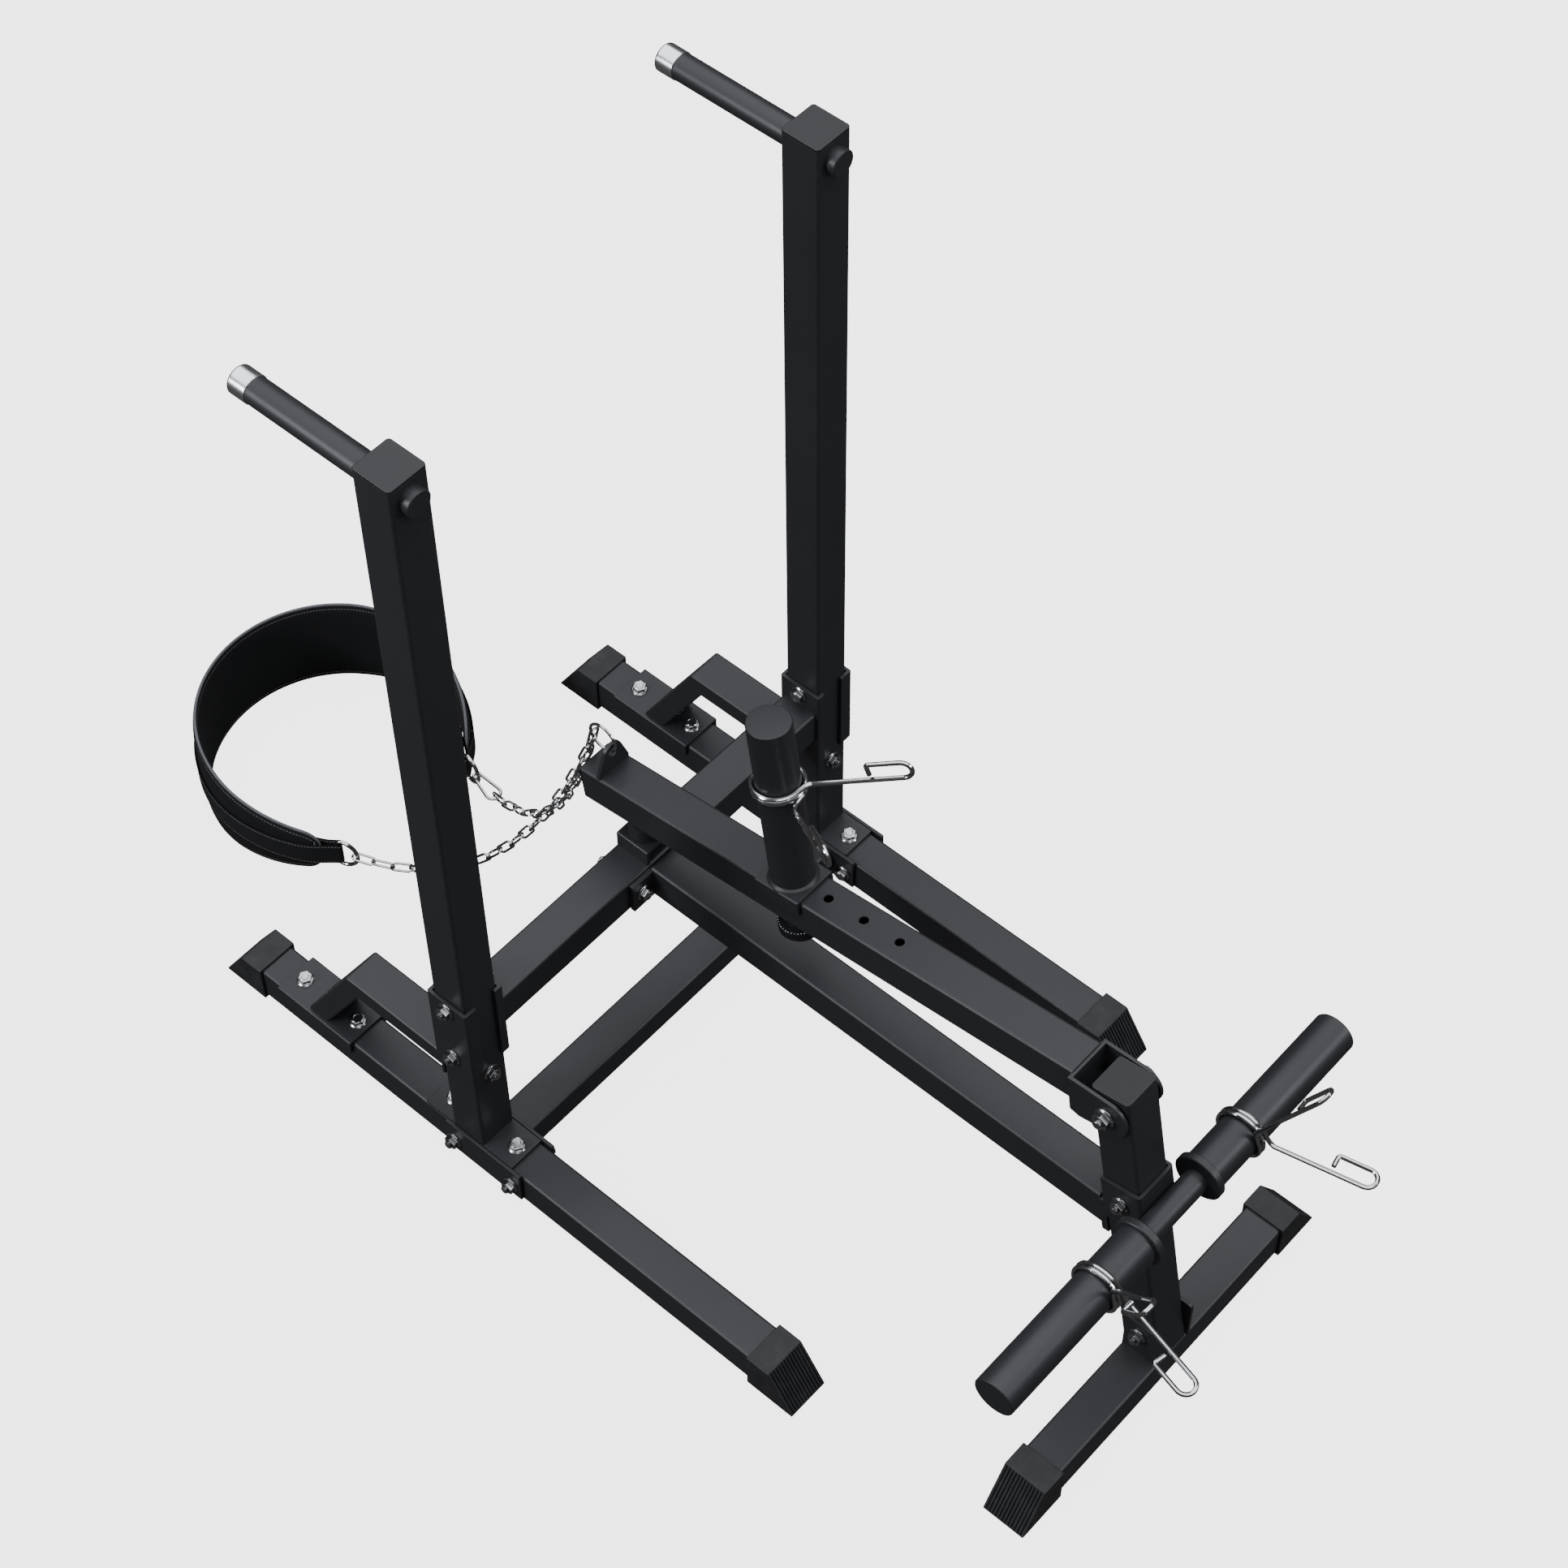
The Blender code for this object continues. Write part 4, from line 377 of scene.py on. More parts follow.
# %% Woven finishes
STITCH = 0.0042
STITCH_HALF_WIDTH = 0.0006
STITCH_COLOUR = (0.16, 0.16, 0.165)
PAD_SEAM, STRAP_SEAM = 0.0058, 0.0032


def woven(name, colour, thread, roughness, seam=None):
    cloth = Recipe(name, colour, roughness, specular=0.25)
    along, across = cloth.measured("along"), cloth.measured("across")
    weft = (along * (tau / thread)).wave()
    warp = (across * (tau / thread)).wave()
    weave = weft * warp
    cloth.tint(0.3 + weave * 0.2, tuple(1.5 * part for part in colour))
    cloth.tint(cloth.noise(30.0, 3) ** 4.0, tuple(2.4 * part for part in colour))
    height = weave
    if seam:
        line = abs(cloth.measured("from_edge") - seam) < STITCH_HALF_WIDTH
        dash = (along * (tau / STITCH)).wave() > -0.35
        cloth.tint(line * dash, STITCH_COLOUR)
        height = weave * 0.5 + 2.0 * line * dash - 2.0 * line
    cloth.rough(roughness - 0.08 * weave)
    cloth.bump(height, thread * 0.2, 0.5)
    return cloth.material


belt_cloth = woven("belt_cloth", (0.0045, 0.0045, 0.005), 0.0009, 0.8, PAD_SEAM)
binding = woven("edge_binding", (0.072, 0.073, 0.078), 0.0007, 0.75)
webbing = woven("strap_webbing", (0.0075, 0.0075, 0.008), 0.0016, 0.72, STRAP_SEAM)
print("cloths:", belt_cloth.name, binding.name, webbing.name, "with a stitch every", STITCH, "m")

# %% White paper for the floor
paper = Recipe("white_paper", (0.22, 0.22, 0.22), 0.9, specular=0.0)
paper.tint(paper.noise(0.6, 2) * 0.04, (0.20, 0.20, 0.20))
paper.shader.inputs["Emission Color"].default_value = (1, 1, 1, 1)
paper.shader.inputs["Emission Strength"].default_value = 3.4
floor.data.materials.append(paper.material)

# %% [markdown]
# ## Bench tools
# Modelling by hand is a few moves made over and over: put down a block, pick some of its edges,
# bevel them, cut a pocket, set the piece in its place. Operators act on whatever is selected, so
# each helper first clears the selection and then picks faces or edges by where they lie.

# %% Selecting, placing and joining
SHARP = radians(35)


def only(*pieces):
    """Select these pieces and nothing else; the first one is active."""
    if bpy.context.object and bpy.context.object.mode != "OBJECT":
        bpy.ops.object.mode_set(mode="OBJECT")
    bpy.ops.object.select_all(action="DESELECT")
    for piece in pieces:
        piece.select_set(True)
    bpy.context.view_layer.objects.active = pieces[0]


def fresh(name, add, **settings):
    """Add a new piece with one of Blender's own operators, while nothing else is selected."""
    only(floor)
    bpy.ops.object.select_all(action="DESELECT")
    add(**settings)
    piece = bpy.context.object
    piece.name = name
    return piece


def remove(*pieces):
    for piece in pieces:
        bpy.data.objects.remove(piece)


def settle(piece, place=None):
    """Put a piece in its place and keep the place in its mesh."""
    if place is not None:
        piece.matrix_world = place @ piece.matrix_world
    only(piece)
    bpy.ops.object.transform_apply(location=True, rotation=True, scale=True)
    return piece


def weld(name, *pieces):
    only(*pieces)
    bpy.ops.object.join()
    pieces[0].name = name
    return pieces[0]


def twin(piece, name, place):
    """A copy with a mesh of its own, set in its place."""
    only(piece)
    bpy.ops.object.duplicate(linked=False)
    made = bpy.context.object
    made.name = name
    return settle(made, place)


def modify(piece, kind, **settings):
    only(piece)
    modifier = piece.modifiers.new(kind.title(), kind)
    for key, value in settings.items():
        setattr(modifier, key, value)
    bpy.ops.object.modifier_apply(modifier=modifier.name)
    return piece


def carve(piece, *cutters):
    for cutter in cutters:
        modify(piece, "BOOLEAN", operation="DIFFERENCE", solver="EXACT", object=cutter)
        remove(cutter)
    return piece


def soften(piece, width=0.0008, segments=2):
    """Break the sharp edges, as a grinder does before the paint."""
    return modify(piece, "BEVEL", width=width, segments=segments, limit_method="ANGLE", angle_limit=SHARP)


def done(piece, finish, *nodes, body="frame"):
    """Smooth the piece but keep its wide faces flat, give it its finish and hang it on its body."""
    only(piece)
    bpy.ops.object.shade_smooth_by_angle(angle=SHARP)
    modify(piece, "WEIGHTED_NORMAL", keep_sharp=True)
    piece.data.materials.clear()
    piece.data.materials.append(finish)
    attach(piece, body)
    if nodes:
        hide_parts(*nodes)
    print(piece.name, len(piece.data.polygons), "faces")
    return piece


print("edges sharper than", round(degrees(SHARP)), "degrees are broken, and shaded as edges")


# %% Picking faces and edges
def pick(piece, kind, test):
    """In edit mode, select the faces or edges that pass a test of their middle and direction."""
    only(piece)
    bpy.ops.object.mode_set(mode="EDIT")
    bpy.ops.mesh.select_mode(type=kind)
    bpy.ops.mesh.select_all(action="DESELECT")
    bpy.ops.object.mode_set(mode="OBJECT")
    mesh = piece.data
    if kind == "FACE":
        for face in mesh.polygons:
            face.select = test(face.center, face.normal)
    else:
        for edge in mesh.edges:
            first, second = (mesh.vertices[corner].co for corner in edge.vertices)
            edge.select = test((first + second) / 2, (second - first).normalized())
    bpy.ops.object.mode_set(mode="EDIT")


def along_z(middle, way):
    return abs(way.z) > 0.9


def along_z_above(middle, way):
    return abs(way.z) > 0.9 and middle.y > 0


def round_edges(piece, test, width, segments):
    """Bevel only the edges that pass the test."""
    pick(piece, "EDGE", test)
    bpy.ops.mesh.bevel(offset=width, segments=segments)
    bpy.ops.object.mode_set(mode="OBJECT")
    return piece


def open_up(piece):
    """Go into edit mode with the whole mesh selected."""
    only(piece)
    bpy.ops.object.mode_set(mode="EDIT")
    bpy.ops.mesh.select_all(action="SELECT")


def close_up(piece):
    """Merge doubled points and turn every face outwards."""
    open_up(piece)
    bpy.ops.mesh.remove_doubles(threshold=0.00001)
    bpy.ops.mesh.normals_make_consistent(inside=False)
    bpy.ops.object.mode_set(mode="OBJECT")
    return piece


# %% Blocks, tubes and channels
TUBE_EDGE, SHEET_EDGE, PLATE_EDGE = 0.0004, 0.0007, 0.0009
FOLD = 0.0022


def block(name, low, high, soft=0.0):
    """A block between two corners; its edges are broken when soft is given."""
    low, high = Vector(low), Vector(high)
    piece = fresh(name, bpy.ops.mesh.primitive_cube_add, size=1, location=(low + high) / 2)
    piece.scale = high - low
    settle(piece)
    return soften(piece, soft) if soft else piece


def side_block(name, side, near, far, front_low, rear_high, soft=0.0):
    """A block from X near to X far, mirrored for the right side; its corners are (y, z) pairs."""
    low_x, high_x = sorted((side * near, side * far))
    return block(name, at(low_x, *front_low), at(high_x, *rear_high), soft)


def square_tube(name, length, place, height=TUBE, slants=(0, 0)):
    """Square tube along local Z. A slant tilts that end's cut along local Y."""
    spare = TUBE / 4
    piece = block(name, (-HALF, -height / 2, -spare), (HALF, height / 2, length + spare))
    round_edges(piece, along_z, TUBE_CORNER, 4)
    pick(piece, "FACE", along_z)
    bpy.ops.mesh.delete(type="FACE")
    for level, slant, below in ((0, slants[0], True), (length, slants[1], False)):
        bpy.ops.mesh.select_all(action="SELECT")
        bpy.ops.mesh.bisect(plane_co=(0, 0, level), plane_no=(0, -slant, 1),
                            clear_inner=below, clear_outer=not below)
    bpy.ops.object.mode_set(mode="OBJECT")
    modify(piece, "SOLIDIFY", thickness=TUBE_WALL, offset=-1, use_even_offset=True)
    return settle(soften(piece, TUBE_EDGE), place)


def channel(name, inside, wall, flap, span, place):
    """A plate folded down on both sides: X across, Y up from its seat, Z along."""
    piece = block(name, (-inside - wall, -flap, span[0]), (inside + wall, wall, span[1]))
    round_edges(piece, along_z_above, FOLD, 3)
    carve(piece, block("pocket", (-inside, -2 * flap, span[0] - 0.01), (inside, 0, span[1] + 0.01)))
    return settle(soften(piece), place)


# %% Turned pieces, wire and cut plate
def line_piece(name, points, closed=False, **settings):
    """A curve through the points, made a mesh; a wire where it has a bevel depth."""
    curve = bpy.data.curves.new(name, "CURVE")
    curve.dimensions = "3D"
    for key, value in settings.items():
        setattr(curve, key, value)
    spline = curve.splines.new("POLY")
    spline.points.add(len(points) - 1)
    for knot, point in zip(spline.points, points):
        knot.co = (*point, 1.0)
    spline.use_cyclic_u = closed
    holder = bpy.data.objects.new(name, curve)
    bpy.context.scene.collection.objects.link(holder)
    only(holder)
    bpy.ops.object.convert(target="MESH")
    return bpy.context.object


def turned(name, profile, place=Matrix.Identity(4), steps=48, hollow=False):
    """Spin a profile of (radius, height) points round local Z; unless hollow it is closed at the axis."""
    if not hollow:
        profile = [(0, profile[0][1]), *profile, (0, profile[-1][1])]
    piece = line_piece(name, [(radius, 0, height) for radius, height in profile])
    open_up(piece)
    bpy.ops.mesh.spin(steps=steps, angle=tau, center=(0, 0, 0), axis=(0, 0, 1))
    return settle(close_up(piece), place)


def rod(name, radius, length, place):
    return turned(name, [(radius, 0), (radius, length)], place, 32)


def wire(name, points, radius, closed=False, roundness=2):
    return close_up(line_piece(name, points, closed, bevel_depth=radius, bevel_resolution=roundness,
                               use_fill_caps=not closed))


def cut_plate(name, outline, low, high, place, soft=0.0008):
    """Flat plate with this (x, y) outline, from low to high along local Z."""
    piece = line_piece(name, [(x, y, low) for x, y in outline], closed=True)
    open_up(piece)
    bpy.ops.mesh.edge_face_add()
    bpy.ops.mesh.extrude_region_move(TRANSFORM_OT_translate={"value": (0, 0, high - low)})
    close_up(piece)
    return settle(soften(piece, soft) if soft else piece, place)


def arc(centre, radius, first, last, steps):
    """Points on an arc; the angles are in degrees."""
    angles = [radians(first + (last - first) * step / steps) for step in range(steps + 1)]
    return [(centre[0] + radius * cos(angle), centre[1] + radius * sin(angle)) for angle in angles]


print("tubes", TUBE, "m wide with", TUBE_WALL, "m walls, plates", PLATE, "m thick")

# %% [markdown]
# ## Floor rails and their feet
# Two rails of square tube lie along the floor, and a third tube lies across the back. Each end sits
# in a rubber shoe with a slanted nose, whose grooves grip when the station is tipped. One shoe is
# modelled, with its grooves cut by a row of thin bars, and six copies of it are used.

# %% Rails and rear foot bar
RAIL_FRONT, RAIL_REAR = -0.378, 0.4655
BAR_Y = POST_Y + 0.0016
BAR_HALF_LENGTH = 0.228
LUG_TOP = RAIL_TOP + 0.0615
LUG_CORNER = 0.006
for side, name in SIDES:
    rail = square_tube("rail_tube_" + name, RAIL_REAR - RAIL_FRONT,
                       facing(at(side * RAIL_X, RAIL_FRONT, RAIL_Z), (0, 1, 0)))
    done(rail, coat, "rail_" + name)
bar = square_tube("bar", 2 * BAR_HALF_LENGTH, facing(at(-BAR_HALF_LENGTH, BAR_Y, RAIL_Z), (1, 0, 0)))
lugs = []
for side in (-1, 1):
    lug = side_block("lug", side, SEAT, PLATE_FACE, (BAR_Y - HALF, RAIL_TOP - SINK), (BAR_Y + HALF, LUG_TOP))
    round_edges(lug, lambda middle, way: abs(way.x) > 0.9 and middle.z > RAIL_TOP + 0.03, LUG_CORNER, 4)
    lugs.append(soften(lug, 0.0006))
done(weld("rear_bar_with_lugs", bar, *lugs), coat, "rear_foot_bar")

# %% One grooved rubber shoe
SHOE_LENGTH = 0.0323
SHOE_NOSE = 0.0359
SHOE_HEIGHT = 0.0572
SHOE_HALF = 0.0286
SHOE_POCKET = 0.028
GROOVES = 12
GROOVE_MARGIN = 0.0022
GROOVE_DEPTH = 0.0007
GROOVE_SHARE = 0.22
shoe = block("shoe", (-SHOE_HALF, 0, 0), (SHOE_HALF, SHOE_HEIGHT, SHOE_LENGTH + SHOE_NOSE))
pick(shoe, "EDGE", lambda middle, way: abs(way.x) > 0.9 and middle.y > SHOE_HEIGHT * 0.9
     and middle.z > SHOE_LENGTH)
bpy.ops.transform.translate(value=(0, 0, -SHOE_NOSE))
carve(shoe, block("pocket", (-SEAT, RAIL_Z - SEAT, -0.01), (SEAT, RAIL_Z + SEAT, SHOE_POCKET)))
soften(shoe, 0.0012, 3)
slope = Vector((0, SHOE_HEIGHT, -SHOE_NOSE))
groove_top = slope.length - GROOVE_MARGIN
slope.normalize()
nose = axes((0, 0, SHOE_LENGTH + SHOE_NOSE), (-1, 0, 0), slope, Vector((-1, 0, 0)).cross(slope))
pitch = (2 * SHOE_HALF - 2 * GROOVE_MARGIN) / GROOVES
half_wide = pitch * GROOVE_SHARE
middles = [-SHOE_HALF + GROOVE_MARGIN + pitch * (index + 0.5) for index in range(GROOVES)]
bars = [block("groove", (middle - half_wide, GROOVE_MARGIN, -GROOVE_DEPTH),
              (middle + half_wide, groove_top, 0.002)) for middle in middles]
carve(shoe, settle(weld("grooves", *bars), nose))
print("grooves", round(pitch, 4), "m apart")

# %% The shoe, six times
for side, name in SIDES:
    for end, way, where in ((RAIL_FRONT, -1, "front"), (RAIL_REAR, 1, "rear")):
        start = at(side * RAIL_X, end - way * (SHOE_POCKET - GAP), 0)
        piece = twin(shoe, f"shoe_{where}_{name}", axes(start, (-way, 0, 0), (0, 0, 1), (0, way, 0)))
        done(piece, rubber, f"foot_{where}_{name}")
    start = at(side * (BAR_HALF_LENGTH - SHOE_POCKET + GAP), BAR_Y, 0)
    piece = twin(shoe, "shoe_bar_" + name, axes(start, (0, side, 0), (0, 0, 1), (side, 0, 0)))
    done(piece, rubber, "bar_foot_" + name)
remove(shoe)

# %% [markdown]
# ## Uprights, side plates and the lower crossbar
# Each upright stands on a welded foot plate, bolted down on its rail. A plate on either side of the
# rail joins it to the lower crossbar. The handle tube goes through the top of the upright and ends
# in a chrome cap; at the back a short stub of it shows.

# %% Uprights with their handles
UPRIGHT_TOP = 1.2019
CAP_PLATE = 0.0032
TUBE_TOP = UPRIGHT_TOP - CAP_PLATE - GAP
FOOT_HALF_LENGTH = 0.070
HANDLE_Z = UPRIGHT_TOP - 0.0269
HANDLE_RADIUS = 0.0153
HANDLE_REAR, HANDLE_FRONT = 0.037, -0.180
HANDLE_CAP = 0.0161
HANDLE_CAP_LENGTH = 0.0245
CROWN = 0.003
handle_length = HANDLE_REAR - HANDLE_FRONT
handle_profile = [(HANDLE_RADIUS - 0.001, 0), (HANDLE_RADIUS, 0.001), (HANDLE_RADIUS, handle_length)]
cap_profile = [(HANDLE_CAP - 0.0006, 0), (HANDLE_CAP, 0.0006),
               *arc((HANDLE_CAP - CROWN, HANDLE_CAP_LENGTH - CROWN), CROWN, 0, 90, 6)]
for side, name in SIDES:
    x = side * RAIL_X
    bottom = FOOT_PLATE_TOP - SINK
    tube = square_tube("tube", TUBE_TOP - bottom, Matrix.Translation(at(x, 0, bottom)))
    plate = block("plate", at(x - HALF + GAP, -FOOT_HALF_LENGTH, RAIL_TOP + GAP),
                  at(x + HALF - GAP, FOOT_HALF_LENGTH, FOOT_PLATE_TOP), 0.0008)
    handle = turned("handle", handle_profile, facing(at(x, HANDLE_REAR, HANDLE_Z), (0, -1, 0)))
    done(weld("upright_welded_" + name, tube, plate, handle), coat, "upright_" + name)
    start = facing(at(x, HANDLE_FRONT - GAP, HANDLE_Z), (0, -1, 0))
    done(turned("chrome_cap_" + name, cap_profile, start, 64), chrome, "handle_cap_" + name)

# %% Square caps in the tube tops
NECK = HALF - 0.003
cap = round_edges(block("cap", (-HALF, -HALF, GAP), (HALF, HALF, GAP + CAP_PLATE)), along_z, TUBE_CORNER, 4)
soften(cap, PLATE_EDGE, 3)
weld("cap", cap, block("neck", (-NECK, -NECK, -0.007), (NECK, NECK, 0.001)))
for side, name in SIDES:
    top = Matrix.Translation(at(side * RAIL_X, 0, TUBE_TOP))
    done(twin(cap, "top_cap_" + name, top), plastic, "upright_cap_" + name)
post_tube_top = POST_LENGTH - CAP_PLATE - GAP
done(twin(cap, "post_top_cap", on_post(post_tube_top)), plastic, "rear_post_cap")
remove(cap)

# %% Side plates and lower crossbar
SIDE_PLATE = ((-0.034, 0.0085), (0.086, FOOT_PLATE_TOP))
LOWER_BAR_HEIGHT = 0.040
LOWER_BAR_Y = 0.025


def side_plate(name, side, face):
    return side_block(name, side, face, face + PLATE, *SIDE_PLATE, PLATE_EDGE)


bar_start = -INNER - WELD_BITE
lower_bar = square_tube("lower", -2 * bar_start,
                        crosswise(bar_start, LOWER_BAR_Y, RAIL_TOP - LOWER_BAR_HEIGHT / 2), LOWER_BAR_HEIGHT)
done(weld("lower_bar_welded", lower_bar, side_plate("p", 1, INNER), side_plate("p", -1, INNER)), coat,
     "lower_crossbar")
for side, name in SIDES:
    done(side_plate("side_plate_" + name, side, RAIL_X + SEAT), coat, "rail_outer_plate_" + name)

# %% [markdown]
# ## Upper crossbar and its clamps
# The upper crossbar ends in lipped plates that lean against the uprights, and a second lipped plate
# on the outside closes each clamp. A folded bracket in the middle carries the rubber stop. A clamp
# plate is a block with its lower corners cut and a pocket for the upright.

# %% Clamp plates and crossbar
CROSSBAR_Z = 0.2813
CLAMP_LOW, CLAMP_HIGH = 0.204, 0.340
CLAMP_CORNER = 0.010
INNER_LIP, OUTER_LIP = 0.012, 0.018
HAT_SEAT = 0.325
HAT_WALL = 0.005
HAT_HALF_LENGTH = 0.024


def clamp_plate(name, side, face, lip):
    """Plate outside the face at x = side * face, with lips of this length round the upright."""
    plate = side_block(name, side, face, face + lip, (-PLATE_FACE, CLAMP_LOW), (PLATE_FACE, CLAMP_HIGH))
    round_edges(plate, lambda middle, way: abs(way.x) > 0.9 and middle.z < CLAMP_LOW + 0.001, CLAMP_CORNER, 1)
    round_edges(plate, lambda middle, way: abs(way.z) > 0.9 and abs(middle.x - side * face) < 0.0001, FOLD, 3)
    x, low, high = side * RAIL_X, CLAMP_LOW - TUBE, CLAMP_HIGH + TUBE
    carve(plate, block("pocket", at(x - SEAT, -SEAT, low), at(x + SEAT, SEAT, high)))
    return soften(plate, SHEET_EDGE)


crossbar = square_tube("crossbar", -2 * bar_start, facing(at(bar_start, 0, CROSSBAR_Z), (1, 0, 0)))
hat_flap = HAT_SEAT - CROSSBAR_Z - HALF + 0.001
hat = channel("hat", HALF - HAT_WALL, HAT_WALL, hat_flap, (-HAT_HALF_LENGTH, HAT_HALF_LENGTH),
              rearward(0, 0, HAT_SEAT))
clamps = [clamp_plate("clamp", side, INNER, INNER_LIP) for side in (1, -1)]
done(weld("crossbar_welded", crossbar, hat, *clamps), coat, "upper_crossbar")
for side, name in SIDES:
    done(clamp_plate("clamp_plate_" + name, side, OUTER, -OUTER_LIP), coat, "outer_clamp_" + name)

# %% Rubber stop
STOP_RADIUS = 0.0204
STOP_Y = -0.0005
STOP_EDGE = 0.0018
stop_low, stop_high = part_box("bumper")
height = stop_high.z - stop_low.z - STOP_RADIUS * LEVER_TILT
bevel = [(STOP_RADIUS - STOP_EDGE * a, height - STOP_EDGE * b) for a, b in ((0, 1), (0.3, 0.3), (1, 0))]
stop = turned("rubber_stop", [(STOP_RADIUS - STOP_EDGE, 0), (STOP_RADIUS, STOP_EDGE), *bevel], steps=64)
for corner in stop.data.vertices:
    if corner.co.z > height / 2:
        corner.co.z += corner.co.y * LEVER_TILT
done(settle(stop, Matrix.Translation(at(0, STOP_Y, stop_low.z))), rubber, "bumper")

# %% [markdown]
# ## Spine and rear post
# The spine runs back from the crossbar to a block on the leaning rear post. Its rear end is cut to
# the post's lean. The post stands in the two lugs of the foot bar.

# %% Spine and rear post
REAR_BLOCK = 0.0097
REAR_BLOCK_LOW, REAR_BLOCK_HIGH = 0.203, 0.2585
OVERHANG = 0.0005
SPINE_PLATE = 0.0068
SPINE_PLATE_HALF = 0.058
lean = tan(POST_LEAN)
start = SEAT + SPINE_PLATE - SINK
face = post_spot(0, -SEAT - REAR_BLOCK + WELD_BITE, 0)
end = face.y - UPRIGHT_Y - (CROSSBAR_Z - face.z) * lean
spine = square_tube("spine_tube", end - start, rearward(0, start, CROSSBAR_Z), slants=(0, -lean))
front_plate = block("front_plate", at(-SPINE_PLATE_HALF, SEAT, CROSSBAR_Z - HALF + 0.001),
                    at(SPINE_PLATE_HALF, SEAT + SPINE_PLATE, CROSSBAR_Z + HALF - 0.003), PLATE_EDGE)
rear_block = block("rear_block", (-HALF - OVERHANG, -SEAT - REAR_BLOCK, REAR_BLOCK_LOW),
                   (HALF + OVERHANG, -SEAT, REAR_BLOCK_HIGH), 0.0012)
done(weld("spine_welded", spine, front_plate, settle(rear_block, on_post())), coat, "spine")
low = GAP / cos(POST_LEAN)
post = square_tube("post_tube", post_tube_top - low, on_post(low), slants=(-lean, 0))
done(post, coat, "rear_post")

# %% [markdown]
# ## Storage bar
# A folded clamp round the post carries a rod, and on each side a collar and a thicker sleeve that
# holds the spare plates. The sleeve's outer end is closed by a flat disc with a thin bevelled rim.
# All the round parts are turned from one profile and share one axis.

# %% Storage bar
SLEEVE = 0.0255
ROD = 0.0152
CLAMP_FRONT = -0.0235
BAND_LOW, BAND_HIGH = 0.240, 0.308
STORAGE_UP = 0.2744
SLEEVE_END = 0.296
clamp = block("clamp", (-PLATE_FACE, CLAMP_FRONT, BAND_LOW), (PLATE_FACE, PLATE_FACE, BAND_HIGH))
round_edges(clamp, along_z_above, 0.005, 4)
carve(clamp, block("pocket", (-SEAT, -TUBE, BAND_LOW - TUBE), (SEAT, SEAT, BAND_HIGH + TUBE)))
settle(soften(clamp, SHEET_EDGE), on_post())
storage_middle = post_spot(0, PLATE_FACE + ROD - 0.0005, STORAGE_UP)
collar = [(ROD, 0.0465), (0.0295, 0.0475), (0.0305, 0.0485), (0.0305, 0.056), (0.0295, 0.057)]
rim = [(SLEEVE, SLEEVE_END - 0.0015), (SLEEVE - 0.0006, SLEEVE_END - 0.0005), (SLEEVE - 0.0016, SLEEVE_END)]
rounds = [turned("sleeve", [(ROD, 0), *collar, (SLEEVE, 0.0572), *rim],
                 facing(storage_middle, (side, 0, 0)), 96) for side in (-1, 1)]
done(weld("storage_bar_welded", clamp, *rounds), coat, "storage_bar")

# %% [markdown]
# ## Step frames
# A foot rests on each of these bent tubes before the first dip. The tube is drawn as a side view
# and pushed out to its width, then its long edges are rounded as on the other tubes. It is welded
# to a saddle on the rail and to an end plate on the upright.

# %% Step frames
STEP_LEAN = radians(29.8)
STEP_TOP = 0.206
STEP_FRONT = -0.2685
STEP_HEIGHT = 0.028
STEP_PLATE_LOW = 0.165
STEP_SADDLE = (-0.318, -0.194)
STEP_FLAP = 0.015


def leg(offset, height):
    """A corner of the leaning leg in the side view, so far behind its front edge."""
    return STEP_FRONT + offset + (height - FOOT_PLATE_TOP) * tan(STEP_LEAN), height


thick = STEP_HEIGHT / cos(STEP_LEAN)
low, under, end = FOOT_PLATE_TOP - SINK, STEP_TOP - STEP_HEIGHT, SINK - PLATE_FACE
step_view = [leg(0, low), leg(thick, low), leg(thick, under), (end, under), (end, STEP_TOP), leg(0, STEP_TOP)]
for side, name in SIDES:
    x = side * RAIL_X
    tube = soften(cut_plate("tube", step_view, -HALF, HALF, crosswise(x, 0, 0), soft=0), 0.003, 4)
    plate = block("plate", at(x - HALF - OVERHANG, -PLATE_FACE, STEP_PLATE_LOW),
                  at(x + HALF + OVERHANG, -SEAT, STEP_TOP + OVERHANG), PLATE_EDGE)
    saddle = channel("saddle", SEAT, PLATE, STEP_FLAP, STEP_SADDLE, rearward(x, 0, RAIL_TOP + GAP))
    done(weld("step_welded_" + name, tube, plate, saddle), coat, "step_frame_" + name)

# %% [markdown]
# ## Lever
# The lever is one more square tube, closed at its front, with a lug for the chains, four holes for
# the saddle's pin and two cheeks round the pivot bolt. It is modelled lying straight, in its own
# axes, and tilted once at the end, so that every cut stays square.

# %% Lever tube with its cheeks
HOLES = (0.3063, 0.3573, 0.4083, 0.4593)
HOLE_RADIUS = 0.0057
CHEEK_IN = HALF + 0.0023
CHEEK_OUT = CHEEK_IN + PLATE
CHEEK_TOP, CHEEK_BOTTOM = -0.002, -0.056
CHEEK_RADIUS = 0.028
lever = square_tube("lever", lever_length + 0.001, Matrix.Translation((0, -HALF, 0)))
lid = round_edges(block("lid", (-HALF, -TUBE, 0), (HALF, 0, 0.003)), along_z, TUBE_CORNER, 4)
soften(lid, 0.0005)
drills = [rod("drill", HOLE_RADIUS, 0.07, facing((0, 0.01, hole), (0, -1, 0))) for hole in HOLES]
carve(lever, weld("drills", *drills))
cheek_view = [(lever_length, CHEEK_TOP), (lever_length, CHEEK_BOTTOM), (lever_length + 0.012, -0.0605),
              *arc((pivot_along, -PIVOT_DROP), CHEEK_RADIUS, -112, 64, 18)]
cheek_axes = axes((0, 0, 0), (0, 0, 1), (0, 1, 0), (-1, 0, 0))
